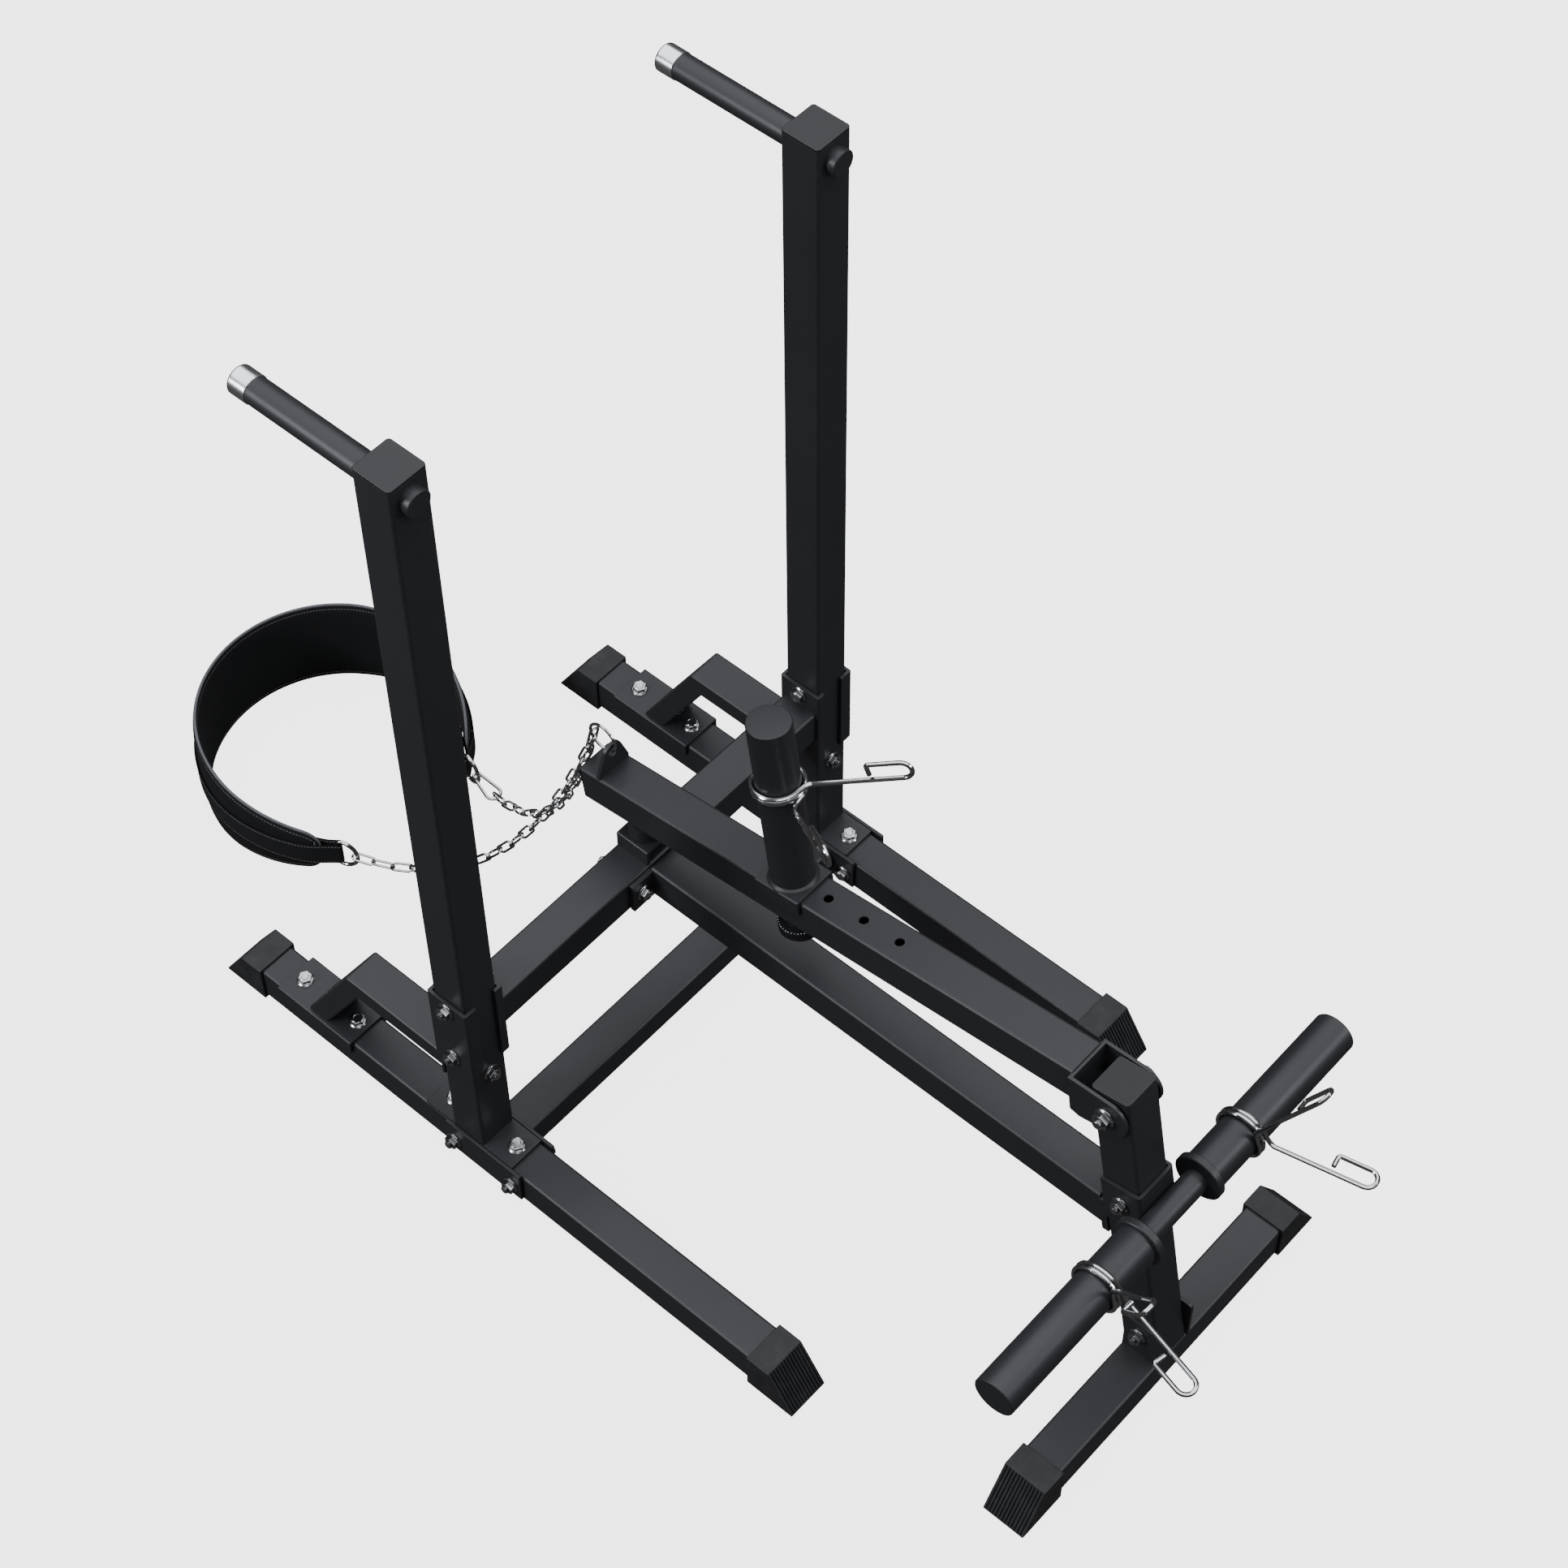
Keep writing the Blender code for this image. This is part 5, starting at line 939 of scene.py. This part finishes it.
cheeks = [cut_plate("cheek", cheek_view, low, low + PLATE, cheek_axes) for low in (-CHEEK_OUT, CHEEK_IN)]
cross = block("cross", (-CHEEK_OUT + 0.001, CHEEK_BOTTOM, lever_length),
              (CHEEK_OUT - 0.001, CHEEK_TOP, lever_length + 0.005), 0.0008)
lever = settle(weld("lever", lever, lid, cross, *cheeks), on_lever())

# %% Ear for the chains, and bush washers
EAR_Y = -0.0475
EAR_HOLE_Z = 0.4382
EAR_HALF, EAR_CROWN = 0.0245, 0.0145
EAR_HALF_THICK = 0.0025
BUSH_HOLE, BUSH_RADIUS, BUSH_THICK = 0.0064, 0.012, 0.0016
ear_foot = lever_front.z + (EAR_Y - LEVER_FRONT_Y) * LEVER_TILT - 0.001
shoulder = ear_foot + 0.005
ear_view = [(-EAR_HALF, ear_foot), (EAR_HALF, ear_foot), (EAR_HALF, shoulder),
            *arc((0, EAR_HOLE_Z), EAR_CROWN, 24, 156, 12), (-EAR_HALF, shoulder)]
ear = cut_plate("ear", ear_view, -EAR_HALF_THICK, EAR_HALF_THICK, rearward(0, EAR_Y, 0), 0)
carve(ear, rod("drill", 0.0074, 0.04, facing(at(0, EAR_Y - 0.02, EAR_HOLE_Z), (0, 1, 0))))
done(weld("lever_welded", lever, soften(ear, SHEET_EDGE)), coat, "lever_arm", body="lever")
bush_profile = [(BUSH_HOLE, 0), (BUSH_RADIUS, 0), (BUSH_RADIUS, BUSH_THICK), (BUSH_HOLE, BUSH_THICK),
                (BUSH_HOLE, 0)]
for side, name in SIDES:
    start = pivot + Vector((side * (HALF + 0.00035), 0, 0))
    bush = turned("bush_washer_" + name, bush_profile, facing(start, (side, 0, 0)), hollow=True)
    done(bush, nylon, "pivot_bush_" + name)

# %% [markdown]
# ## Weight saddle, load post and knob
# The plates sit on a round post that is welded to a small saddle. A knob under the lever has a stud
# that reaches through one of the holes into the saddle, so the load can be moved along the lever.
# The knob's rim is ribbed, and a ring of small bright dots runs round it, so its ribs are drawn
# out of the rim face by face. The bright dots are painted highlights: small beads of bright metal
# set into its upper edge stand in for the glints on the ribs' ends.

# %% Load post on its saddle
LOAD_TOP = 0.252
SADDLE_HALF = 0.0313
SADDLE_FLAP = 0.017
load = on_lever(HOLES[0], GAP)
saddle = channel("saddle", SEAT, PLATE, SADDLE_FLAP, (-SADDLE_HALF, SADDLE_HALF), load)
base = PLATE - 0.001
weld_ring = [(0.0295, base), (0.0290, base + 0.002), (0.0275, base + 0.0035),
             (SLEEVE + 0.0006, base + 0.0045), (SLEEVE, base + 0.0052)]
rim = [(SLEEVE, LOAD_TOP - 0.0016), (SLEEVE - 0.0006, LOAD_TOP - 0.0006), (SLEEVE - 0.0016, LOAD_TOP)]
column = turned("column", weld_ring + rim, facing(load.translation, lever_up), 96)
done(weld("load_post_welded", saddle, column), coat, "weight_post", body="weight_carriage")

# %% Knob
RIBS = 60
RIB_HEIGHT = 0.00045
KNOB = 0.0255
NECK_RADIUS = 0.017
STUD, STUD_TOP = 0.005, TUBE + 0.013
knob_top = lever_front + HOLES[0] * lever_ahead - (TUBE + GAP) * lever_up
knob = turned("ribbed_knob", [(0.0042, STUD_TOP), (STUD, STUD_TOP - 0.0008), (STUD, 0),
                              (NECK_RADIUS - 0.0005, 0), (NECK_RADIUS, -0.0005), (NECK_RADIUS, -0.0177),
                              (0.0250, -0.0177), (KNOB, -0.0190), (KNOB, -0.0298), (0.0248, -0.0310)],
              steps=2 * RIBS)
pick(knob, "FACE", lambda middle, normal: hypot(middle.x, middle.y) > KNOB - 0.0002
     and int((degrees(atan2(middle.y, middle.x)) % 360) * RIBS / 180) % 2 == 0)
bpy.ops.mesh.inset(thickness=0.0001, depth=RIB_HEIGHT, use_individual=True)
bpy.ops.object.mode_set(mode="OBJECT")
done(settle(knob, facing(knob_top, lever_up)), plastic, "saddle_knob", body="knob")

# %% Painted highlights on the knob: bright beads
# These beads are painted highlights: bright metal dots that stand in for the glints on the ribs' ends.
GLINT_DOTS = 40
GLINT_DOT_RADIUS = 0.0010
GLINT_DOT_CIRCLE, GLINT_DOT_LEVEL = 0.0246, -0.0182
beads = [fresh("bead", bpy.ops.mesh.primitive_uv_sphere_add, segments=12, ring_count=8, radius=GLINT_DOT_RADIUS,
               location=(x, y, GLINT_DOT_LEVEL)) for x, y in arc((0, 0), GLINT_DOT_CIRCLE, 0, 360, GLINT_DOTS)[:-1]]
done(settle(weld("knob_painted_glints", *beads), facing(knob_top, lever_up)), bright, body="knob")

# %% [markdown]
# ## Bolts and nuts
# Every bolt is a flange bolt: a six-sided head on a round flange, with a shallow dimple on top. The
# nut shows the end of the thread. Head and nut are modelled once, each with its flange on the
# floor, and each bolt is a copy of both on one shank.

# %% One bolt head and one nut
HEX_RADIUS = 0.0092
HEX_LOW, HEAD_TOP, NUT_TOP = 0.0015, 0.0076, 0.0079
SHANK = 0.0049
THREAD_TURNS, THREAD_PITCH = 7, 0.0005
THREAD_TOP = 0.0121


def hexagon(radius, low, high):
    piece = fresh("hex", bpy.ops.mesh.primitive_cylinder_add, vertices=6, radius=radius, depth=high - low,
                  location=(0, 0, (low + high) / 2))
    settle(piece)
    pick(piece, "FACE", lambda middle, normal: normal.z > 0.9)
    bpy.ops.mesh.inset(thickness=0.0008, depth=0.0006)
    return soften(piece, 0.0003)


flange_profile = [(0.0105, 0), (0.0108, 0.0004), (0.0107, 0.0009), (0.0092, 0.0022)]
crown_profile = [(0, HEAD_TOP), (0.0034, 0.0077), (0.0045, 0.0084), (0.0052, 0.0087), (0.0066, 0.0086),
                 (0.0072, 0.0080), (0.0072, 0.006), (0, 0.006)]
bolt_head = weld("bolt_head", hexagon(HEX_RADIUS, HEX_LOW, HEAD_TOP), turned("flange", flange_profile),
                 turned("crown", crown_profile, hollow=True))
thread = [(0, 0.006)]
for level in (0.0082 + turn * THREAD_PITCH for turn in range(THREAD_TURNS)):
    thread += [(0.0046, level), (0.005, level + THREAD_PITCH / 2)]
nut = weld("nut", hexagon(HEX_RADIUS, HEX_LOW, NUT_TOP), turned("flange", flange_profile),
           turned("thread", [*thread, (0.0042, THREAD_TOP), (0, THREAD_TOP)], steps=32, hollow=True))
print("a bolt head is", round(bolt_head.dimensions.z, 4), "m high, a nut with its thread",
      round(nut.dimensions.z, 4))


def through_bolt(name, node, head_seat, nut_seat, grow=1.0):
    way = (nut_seat - head_seat).normalized()
    size = Matrix.Scale(grow, 4)
    lift = GAP * way
    head = twin(bolt_head, "head", facing(head_seat - lift, -way) @ size)
    end = twin(nut, "end", facing(nut_seat + lift, way) @ size)
    shank = rod("shank", SHANK * grow, (nut_seat - head_seat).length, facing(head_seat, way))
    return done(weld(name, head, end, shank), zinc, node)


# %% All the bolts
RAIL_BOLTS = {"front": -0.022, "rear": 0.0705}
RAIL_BOLT_Z = 0.0285
CLAMP_BOLT_LIFT = 0.047
STEP_BOLT_Z = 0.1925
SPINE_BOLT_X = 0.0415
SHORT_BOLTS = {"foot_front": -0.0465, "foot_rear": 0.0545, "step_front": -0.300, "step_rear": -0.210}
for side, name in SIDES:
    x = side * RAIL_X
    for where, y in RAIL_BOLTS.items():
        through_bolt(f"side_bolt_{where}_{name}", f"rail_bolt_{where}_{name}",
                     at(side * INNER, y, RAIL_BOLT_Z), at(side * OUTER, y, RAIL_BOLT_Z))
    for z, where in ((CROSSBAR_Z - CLAMP_BOLT_LIFT, "lower"), (CROSSBAR_Z + CLAMP_BOLT_LIFT, "upper")):
        through_bolt(f"clamp_through_{where}_{name}", f"clamp_bolt_{where}_{name}",
                     at(side * INNER, 0, z), at(side * OUTER, 0, z))
    through_bolt("step_through_" + name, "step_bolt_" + name, at(x, -PLATE_FACE, STEP_BOLT_Z),
                 at(x, HALF, STEP_BOLT_Z))
    spine_x = side * SPINE_BOLT_X
    through_bolt("spine_through_" + name, "spine_bolt_" + name,
                 at(spine_x, SEAT + SPINE_PLATE, CROSSBAR_Z), at(spine_x, -HALF, CROSSBAR_Z))
    for where, y in SHORT_BOLTS.items():
        top = Matrix.Translation(at(x, y, FOOT_PLATE_TOP - 0.0002))
        done(twin(bolt_head, f"short_bolt_{where}_{name}", top), zinc)
for name, node, *spot in (("post_clamp_through", "post_clamp_bolt", 0.0015, 0.280),
                          ("post_foot_through", "post_base_bolt", 0.003, 0.038)):
    through_bolt(name, node, post_spot(-PLATE_FACE, *spot), post_spot(PLATE_FACE, *spot))
across = Vector((CHEEK_OUT, 0, 0))
through_bolt("pivot_through", "pivot_bolt", pivot - across, pivot + across, 1.2)
remove(bolt_head, nut)

# %% [markdown]
# ## Spring clips
# A plate is kept on its sleeve by a clip of spring wire: two turns that grip the sleeve, and two
# looped arms to squeeze it open. It is one wire, so it is drawn as one line and given a round
# section. The same line serves all three clips.

# %% Clip line
CLIP_WIRE = 0.0029
CLIP_RADIUS = SLEEVE + 0.0005 + CLIP_WIRE
CLIP_PITCH = 2 * CLIP_WIRE + 0.0006
CLIP_TURNS = 2
COIL_STEPS = 48 * CLIP_TURNS
ARM_LEAN = radians(12)
ARM_SPREAD = radians(29)
ARM_LENGTH = 0.1142
LOOP_HALF = 0.0115
LOOP_RETURN = 0.034
HOOK = 0.003
HOOK_END = 0.015


def clip_arm(side, level):
    """From the coil outwards, round the loop and back to its hooked end."""
    lead = Vector((side * 0.008, CLIP_RADIUS + 0.0012, level))
    elbow = Vector((side * 0.0165, CLIP_RADIUS + 0.0065, level))
    flat = Vector((side * sin(ARM_SPREAD), cos(ARM_SPREAD), 0))
    outward = flat * cos(ARM_LEAN) + Vector((0, 0, sin(ARM_LEAN)))
    above = Vector((0, 0, cos(ARM_LEAN))) - flat * sin(ARM_LEAN)
    far = elbow + outward * (ARM_LENGTH - LOOP_HALF)
    points = [lead, elbow - flat * 0.0035 - Vector((side * 0.0015, 0, 0)), elbow, elbow.lerp(far, 0.5)]
    points += [far + outward * x + above * y for x, y in arc((0, LOOP_HALF), LOOP_HALF, -90, 90, 18)]
    back_end = far + above * 2 * LOOP_HALF - outward * LOOP_RETURN
    points += [back_end + outward * x + above * y for x, y in arc((0, -HOOK), HOOK, 90, 180, 3)]
    return points + [back_end - outward * HOOK - above * HOOK_END]


def clip_line():
    half = CLIP_PITCH * CLIP_TURNS / 2
    circle = arc((0, 0), CLIP_RADIUS, 90, 90 + 360 * CLIP_TURNS, COIL_STEPS)
    coil = [Vector((x, y, half * (2 * step / COIL_STEPS - 1))) for step, (x, y) in enumerate(circle)]
    return list(reversed(clip_arm(1, -half))) + coil + clip_arm(-1, half)


def line_length(points):
    return sum((after - before).length for before, after in zip(points, points[1:]))


print("clip wire", round(line_length(clip_line()), 3), "m long")

# %% The three clips
clip = wire("clip", clip_line(), CLIP_WIRE, roundness=3)
post_clip_place = axes(load.translation + lever_up * 0.155, (1, 0, 0), lever_ahead, lever_up)
done(twin(clip, "load_post_clip", post_clip_place @ Matrix.Rotation(radians(1.5), 4, "Z")), bright,
     "post_clip", body="post_clip")
for (side, name), aim in zip(SIDES, (25, 30)):
    toward = Vector((0, cos(radians(aim)), sin(radians(aim))))
    outward = Vector((side, 0, 0))
    place = axes(storage_middle + outward * 0.125, toward.cross(outward), toward, outward)
    node = "storage_clip_" + name
    done(twin(clip, "sleeve_clip_" + name, place), bright, node, body=node)
remove(clip)

# %% [markdown]
# ## Padded belt
# The belt stands on the floor on its lower edge. It is foam between two cloths, thickest along its
# middle, thinner towards its bound edge, and pinched along the seam. A grid of faces is wrapped
# into this shape point by point, because then each point also knows how far it lies along and
# across the belt and from its edge, which the weave and the stitches need.

# %% Belt form
BELT_MIDDLE = at(0.0255, -0.528, 0.072)
BELT_RADIUS = 0.1655
BELT_START = radians(46)
BELT_SWEEP = radians(286)
BELT_THICKNESS = 0.012
BELT_HIGH, BELT_END = 0.142, 0.066
OPENING = 0.008
PIPING = 0.0019
END_ROUND = 0.020
BARE_STRAP = 0.016
MEASURES = ("along", "across", "from_edge")
belt_length = BELT_RADIUS * BELT_SWEEP


def closer_at_ends(step):
    """Spread even steps so that the round corners at both ends get more of them."""
    return step - 0.9 * sin(tau * step) / tau


def to_end(part):
    return min(part, 1 - part) * belt_length


def belt_spot(part, outward=0.0, rise=0.0):
    """A place on the belt: part runs from its left end to its right end."""
    angle = BELT_START - BELT_SWEEP * part
    near = abs(2 * part - 1)
    radius = BELT_RADIUS + OPENING * max(0.0, (near - 0.7) / 0.3) ** 2 + outward
    return BELT_MIDDLE + Vector((radius * cos(angle), radius * sin(angle), rise))


def on_belt(part):
    """The pad stops short of both ends of the strap."""
    return (BARE_STRAP + (belt_length - 2 * BARE_STRAP) * part) / belt_length


def belt_half_height(part):
    near = abs(2 * part - 1)
    drop = max(0.0, (near - 0.35) / 0.65)
    half = (BELT_HIGH - (BELT_HIGH - BELT_END) * drop ** 1.6) / 2
    if to_end(part) < END_ROUND:
        half -= (1 - sqrt(1 - (1 - to_end(part) / END_ROUND) ** 2)) * END_ROUND
    return half


print("belt", round(belt_length, 3), "m round")


# %% Pad
def keep_measures(piece, rows):
    """Write the numbers that the cloth finishes read; each row belongs to one point of the mesh."""
    for key, numbers in zip(MEASURES, zip(*rows)):
        piece.data.attributes.new(key, "FLOAT", "POINT").data.foreach_set("value", numbers)


def wrapped(name, columns, rows, spot):
    """A grid wrapped by spot(part, turn), which gives a place and its along, across and edge numbers."""
    piece = fresh(name, bpy.ops.mesh.primitive_grid_add, x_subdivisions=columns, y_subdivisions=rows, size=1)
    spots = [spot(corner.co.x + 0.5, corner.co.y + 0.5) for corner in piece.data.vertices]
    for corner, (place, *numbers) in zip(piece.data.vertices, spots):
        corner.co = place
    keep_measures(piece, [numbers for place, *numbers in spots])
    return close_up(piece)


def pad_spot(part, turn):
    """The pad's section starts at the middle of its lower edge and goes up its outer side."""
    part = closer_at_ends(part)
    outer = 1 if turn < 0.5 else -1
    level = sin(pi * (((turn * 2) % 1.0) - 0.5)) * outer if turn < 1 else -1.0
    half = belt_half_height(part) - PIPING
    across = level * half
    from_edge = min(half - abs(across), to_end(part))
    crown = (1 - abs(level) ** 2.6) ** 0.5
    seam = 1 - 0.30 * exp(-((from_edge - PAD_SEAM) / 0.0016) ** 2)
    ending = min(1.0, (to_end(part) / 0.012)) ** 0.5
    thick = 0.0014 + (BELT_THICKNESS / 2 - 0.0016) * crown * ending * seam
    if to_end(part) < 0.0001:
        thick = 0
    return belt_spot(on_belt(part), outer * thick, across), part * belt_length, across, from_edge


pad = wrapped("belt_padding", 360, 72, pad_spot)
done(pad, belt_cloth, "belt_pad", body="belt")

# %% Bound edge
parts = [closer_at_ends(index / 300) for index in range(301)]
path = [belt_spot(on_belt(part), 0, belt_half_height(part) - PIPING) for part in parts]
path += [belt_spot(on_belt(part), 0, PIPING - belt_half_height(part)) for part in reversed(parts)]
tape = wire("belt_edge_binding", path, PIPING, closed=True)
rows = []
for corner in tape.data.vertices:
    middle = corner.co - BELT_MIDDLE
    rows.append((atan2(middle.y, middle.x) * BELT_RADIUS, corner.co.z, 0.0))
keep_measures(tape, rows)
done(tape, binding, body="belt")

# %% [markdown]
# ## Webbing strap
# One strap of webbing runs round the outside of the belt, turns back over each end and is sewn down
# inside. The D rings sit in the two folds. It keeps its shape because it is stitched flat, so it is
# wrapped from a grid like the pad.

# %% Strap line
STRAP_WIDTH = 0.037
STRAP_THICKNESS = 0.0022
STRAP_TURN = 0.003
STRAP_OPENS = 0.035
SEWN_BACK = 0.05
FOLD_LIFT = 0.0042
FULL_LIFT = BELT_THICKNESS / 2 + GAP + STRAP_THICKNESS / 2


def strap_lift(part):
    """How far the strap stands off the belt's middle: the fold holds the ring, then it opens over the pad."""
    opening = min(1.0, to_end(part) / STRAP_OPENS)
    return FOLD_LIFT + (FULL_LIFT - FOLD_LIFT) * opening * opening * (3 - 2 * opening)


def belt_tip(part, sign):
    """One end of the belt and the way it points there."""
    tip = belt_spot(part)
    return tip, (tip - belt_spot(part + sign * 0.01)).normalized()


def strap_end(part, sign):
    """The strap's hidden end: from where it is sewn back, along the inside and round the fold."""
    line = [belt_spot(spot, -strap_lift(spot))
            for spot in (part + sign * SEWN_BACK * (16 - step) / 16 for step in range(16))]
    tip, ahead = belt_tip(part, sign)
    outward = (belt_spot(part, 1.0) - tip).normalized()
    centre = tip + ahead * (STRAP_TURN + FULL_LIFT - FOLD_LIFT)
    return line + [centre + ahead * x + outward * y for x, y in arc((0, 0), FOLD_LIFT, -90, 90, 16)]


outer_line = [belt_spot(step / 160, strap_lift(step / 160)) for step in range(161)]
strap_points = strap_end(0.0, 1) + outer_line + list(reversed(strap_end(1.0, -1)))
distances = [line_length(strap_points[:index + 1]) for index in range(len(strap_points))]
print("strap", round(distances[-1], 3), "m long")


# %% Strap
def strap_spot(part, turn):
    index = round(part * (len(strap_points) - 1))
    before, after = strap_points[max(index - 1, 0)], strap_points[min(index + 1, len(strap_points) - 1)]
    ahead = (after - before).normalized()
    sideways = Vector((ahead.y, -ahead.x, 0))
    outer = 1 if turn < 0.5 else -1
    level = ((turn * 2) % 1.0 * 2 - 1) * outer if turn < 1 else -1.0
    across = level * STRAP_WIDTH / 2
    from_edge = STRAP_WIDTH / 2 - abs(across)
    thick = STRAP_THICKNESS / 2 * min(1.0, 0.35 + from_edge / 0.0012)
    if index in (0, len(strap_points) - 1):
        thick = 0
    place = strap_points[index] + sideways * outer * thick + Vector((0, 0, across))
    return place, distances[index], across, from_edge


strap = wrapped("belt_webbing_strap", len(strap_points) - 1, 32, strap_spot)
done(strap, webbing, "belt_strap", body="belt")

# %% [markdown]
# ## Rings, hook and chains
# The chains hang between the belt and the lever's lug, so each follows a catenary of its own real
# length. A link is an oval of round wire; the next one is turned a quarter and hooked into it. Two
# links are modelled, one for all the places and one longer for the end, and copied along the line.

# %% D rings
EAR = at(0, EAR_Y, EAR_HOLE_Z)
RING_WIRE = 0.0027
RING_DEPTH = 0.026
RING_HALF = 0.0225
RING_CORNER = 0.006


def bright_ring(name, node, points, radius):
    return done(wire(name, points, radius, closed=True, roundness=3), bright, node, body="belt")


def ring_anchor(part, sign):
    """The middle of a D ring's bar, and the level way from there towards the ear."""
    tip, ahead = belt_tip(part, sign)
    anchor = tip + ahead * (STRAP_TURN + BELT_THICKNESS / 2 - RING_WIRE - 4 * GAP)
    toward = EAR - anchor
    return anchor, Vector((toward.x, toward.y, 0)).normalized()


def ring_line(anchor, ahead):
    """Straight bar and round bow of a D ring, as a closed line."""
    straight, bow = RING_HALF - RING_CORNER, RING_DEPTH - RING_CORNER
    flat = [(0, -straight), (0, 0), *arc((RING_CORNER, straight), RING_CORNER, 180, 90, 6)]
    flat += [(RING_CORNER + bow * x, RING_HALF * y) for x, y in arc((0, 0), 1, 90, -90, 24)[1:-1]]
    flat += arc((RING_CORNER, -straight), RING_CORNER, 270, 180, 6)[:-1]
    return [anchor + ahead * x + Vector((0, 0, y)) for x, y in flat]


left_anchor, left_ahead = ring_anchor(0.0, 1)
right_anchor, right_ahead = ring_anchor(1.0, -1)
bright_ring("d_ring_left", "belt_d_ring_left", ring_line(left_anchor, left_ahead), RING_WIRE)
bright_ring("d_ring_right", "belt_d_ring_right", ring_line(right_anchor, right_ahead), RING_WIRE)

# %% Ear ring and snap hook
EAR_RING_WIRE = 0.0019
EAR_RING = 0.019
EAR_RING_AHEAD = 0.0128
SNAP_WIRE = 0.0022
SNAP_HALF = 0.024
SNAP_WIDE, SNAP_NARROW = 0.0095, 0.0045
PLAY = 0.0023
ear_ring_middle = EAR + Vector((0, -EAR_RING_AHEAD, sqrt(EAR_RING ** 2 - EAR_RING_AHEAD ** 2)))
ear_circle = [ear_ring_middle + Vector((0, y, z)) for y, z in arc((0, 0), EAR_RING, 0, 360, 64)[:-1]]
bright_ring("ear_ring", "ear_link", ear_circle, EAR_RING_WIRE)
hook_near = right_anchor + right_ahead * (RING_DEPTH - RING_WIRE - SNAP_WIRE - PLAY)
hook_side = right_ahead.cross(Vector((0, 0, 1)))
wide_middle = 2 * SNAP_HALF - SNAP_WIDE
tangent = degrees(acos((SNAP_WIDE - SNAP_NARROW) / (wide_middle - SNAP_NARROW)))
pear = arc((wide_middle, 0), SNAP_WIDE, tangent - 180, 180 - tangent, 20)
pear += arc((SNAP_NARROW, 0), SNAP_NARROW, 180 - tangent, 180 + tangent, 8)
bright_ring("snap_hook", "belt_snap_hook", [hook_near + right_ahead * x + hook_side * y for x, y in pear],
            SNAP_WIRE)


# %% Hanging lines
def catenary(start, end, marks):
    """Points on a hanging line at these distances along it; the last mark is its length."""
    length, flat, rise = marks[-1], Vector((end.x - start.x, end.y - start.y, 0)), end.z - start.z
    span = flat.length
    target = sqrt(length ** 2 - rise ** 2) / span
    low, high = 0.001, 60.0
    for _ in range(80):
        middle = (low + high) / 2
        low, high = (middle, high) if sinh(middle) / middle < target else (low, middle)
    shape = span / (2 * low)
    lowest = span / 2 - atanh(rise / length) * shape
    begin = -shape * sinh(lowest / shape)
    points = []
    for mark in marks:
        across = lowest + shape * asinh((begin + mark) / shape)
        level = shape * (cosh((across - lowest) / shape) - cosh(lowest / shape))
        points.append(start + flat.normalized() * across + Vector((0, 0, level)))
    return points


# %% Links and chains
CHAIN_WIRE = 0.0016
CHAIN_PITCH = 0.0258
CHAIN_HALF_WIDTH = 0.0069 - CHAIN_WIRE


def link(name, pitch):
    """Oval link about its middle: X along it, Y across. Its inside is one pitch long."""
    straight = pitch / 2 + CHAIN_WIRE - CHAIN_HALF_WIDTH
    oval = arc((straight, 0), CHAIN_HALF_WIDTH, -90, 90, 8)
    oval += arc((-straight, 0), CHAIN_HALF_WIDTH, 90, 270, 8)
    return wire(name, [(x, y, 0) for x, y in oval], CHAIN_WIRE, closed=True)


def chain(name, node, start, end, links, extra, first_turn, push):
    """Links along a hanging line; push holds the chain a little to one side of it."""
    marks = [CHAIN_PITCH * index for index in range(links)] + [CHAIN_PITCH * links + extra]
    points = []
    for point, mark in zip(catenary(start, end, marks), marks):
        part = min(1.0, (marks[-1] - mark) / 0.14)
        points.append(point + Vector((push * sin(pi * part), 0, 0)))
    short, long = link("link", CHAIN_PITCH), link("long_link", CHAIN_PITCH + extra)
    pieces = []
    for index in range(links):
        ahead = (points[index + 1] - points[index]).normalized()
        level = ahead.cross(Vector((0, 0, 1))).normalized()
        wide_way = level if (index + first_turn) % 2 == 0 else level.cross(ahead)
        place = axes((points[index] + points[index + 1]) / 2, ahead, wide_way, ahead.cross(wide_way))
        pieces.append(twin(long if index == links - 1 else short, "link", place))
    remove(short, long)
    print(name, links, "links,", round(marks[-1], 4), "m long between points",
          round((end - start).length, 4), "m apart")
    return done(weld(name, *pieces), bright, node, body="belt")


def ear_hook(start, angle):
    """Where a chain that comes from start hangs in the ear's ring."""
    reach = EAR_RING - EAR_RING_WIRE - CHAIN_WIRE - PLAY
    hooked = ear_ring_middle + Vector((0, -cos(angle), -sin(angle))) * reach
    return hooked - (hooked - start).normalized() * CHAIN_WIRE


# %% Both chains
PUSH = 0.0015
start = left_anchor + left_ahead * (RING_DEPTH - RING_WIRE - PLAY)
chain("left_chain", "chain_left", start, ear_hook(start, radians(32)), 21, 0.0, 0, PUSH)
start = hook_near + right_ahead * (2 * SNAP_HALF - 2 * SNAP_WIRE - PLAY) - Vector((0, 0, 0.0015))
chain("right_chain", "chain_right", start, ear_hook(start, radians(-24)), 18, 0.011, 1, -PUSH)
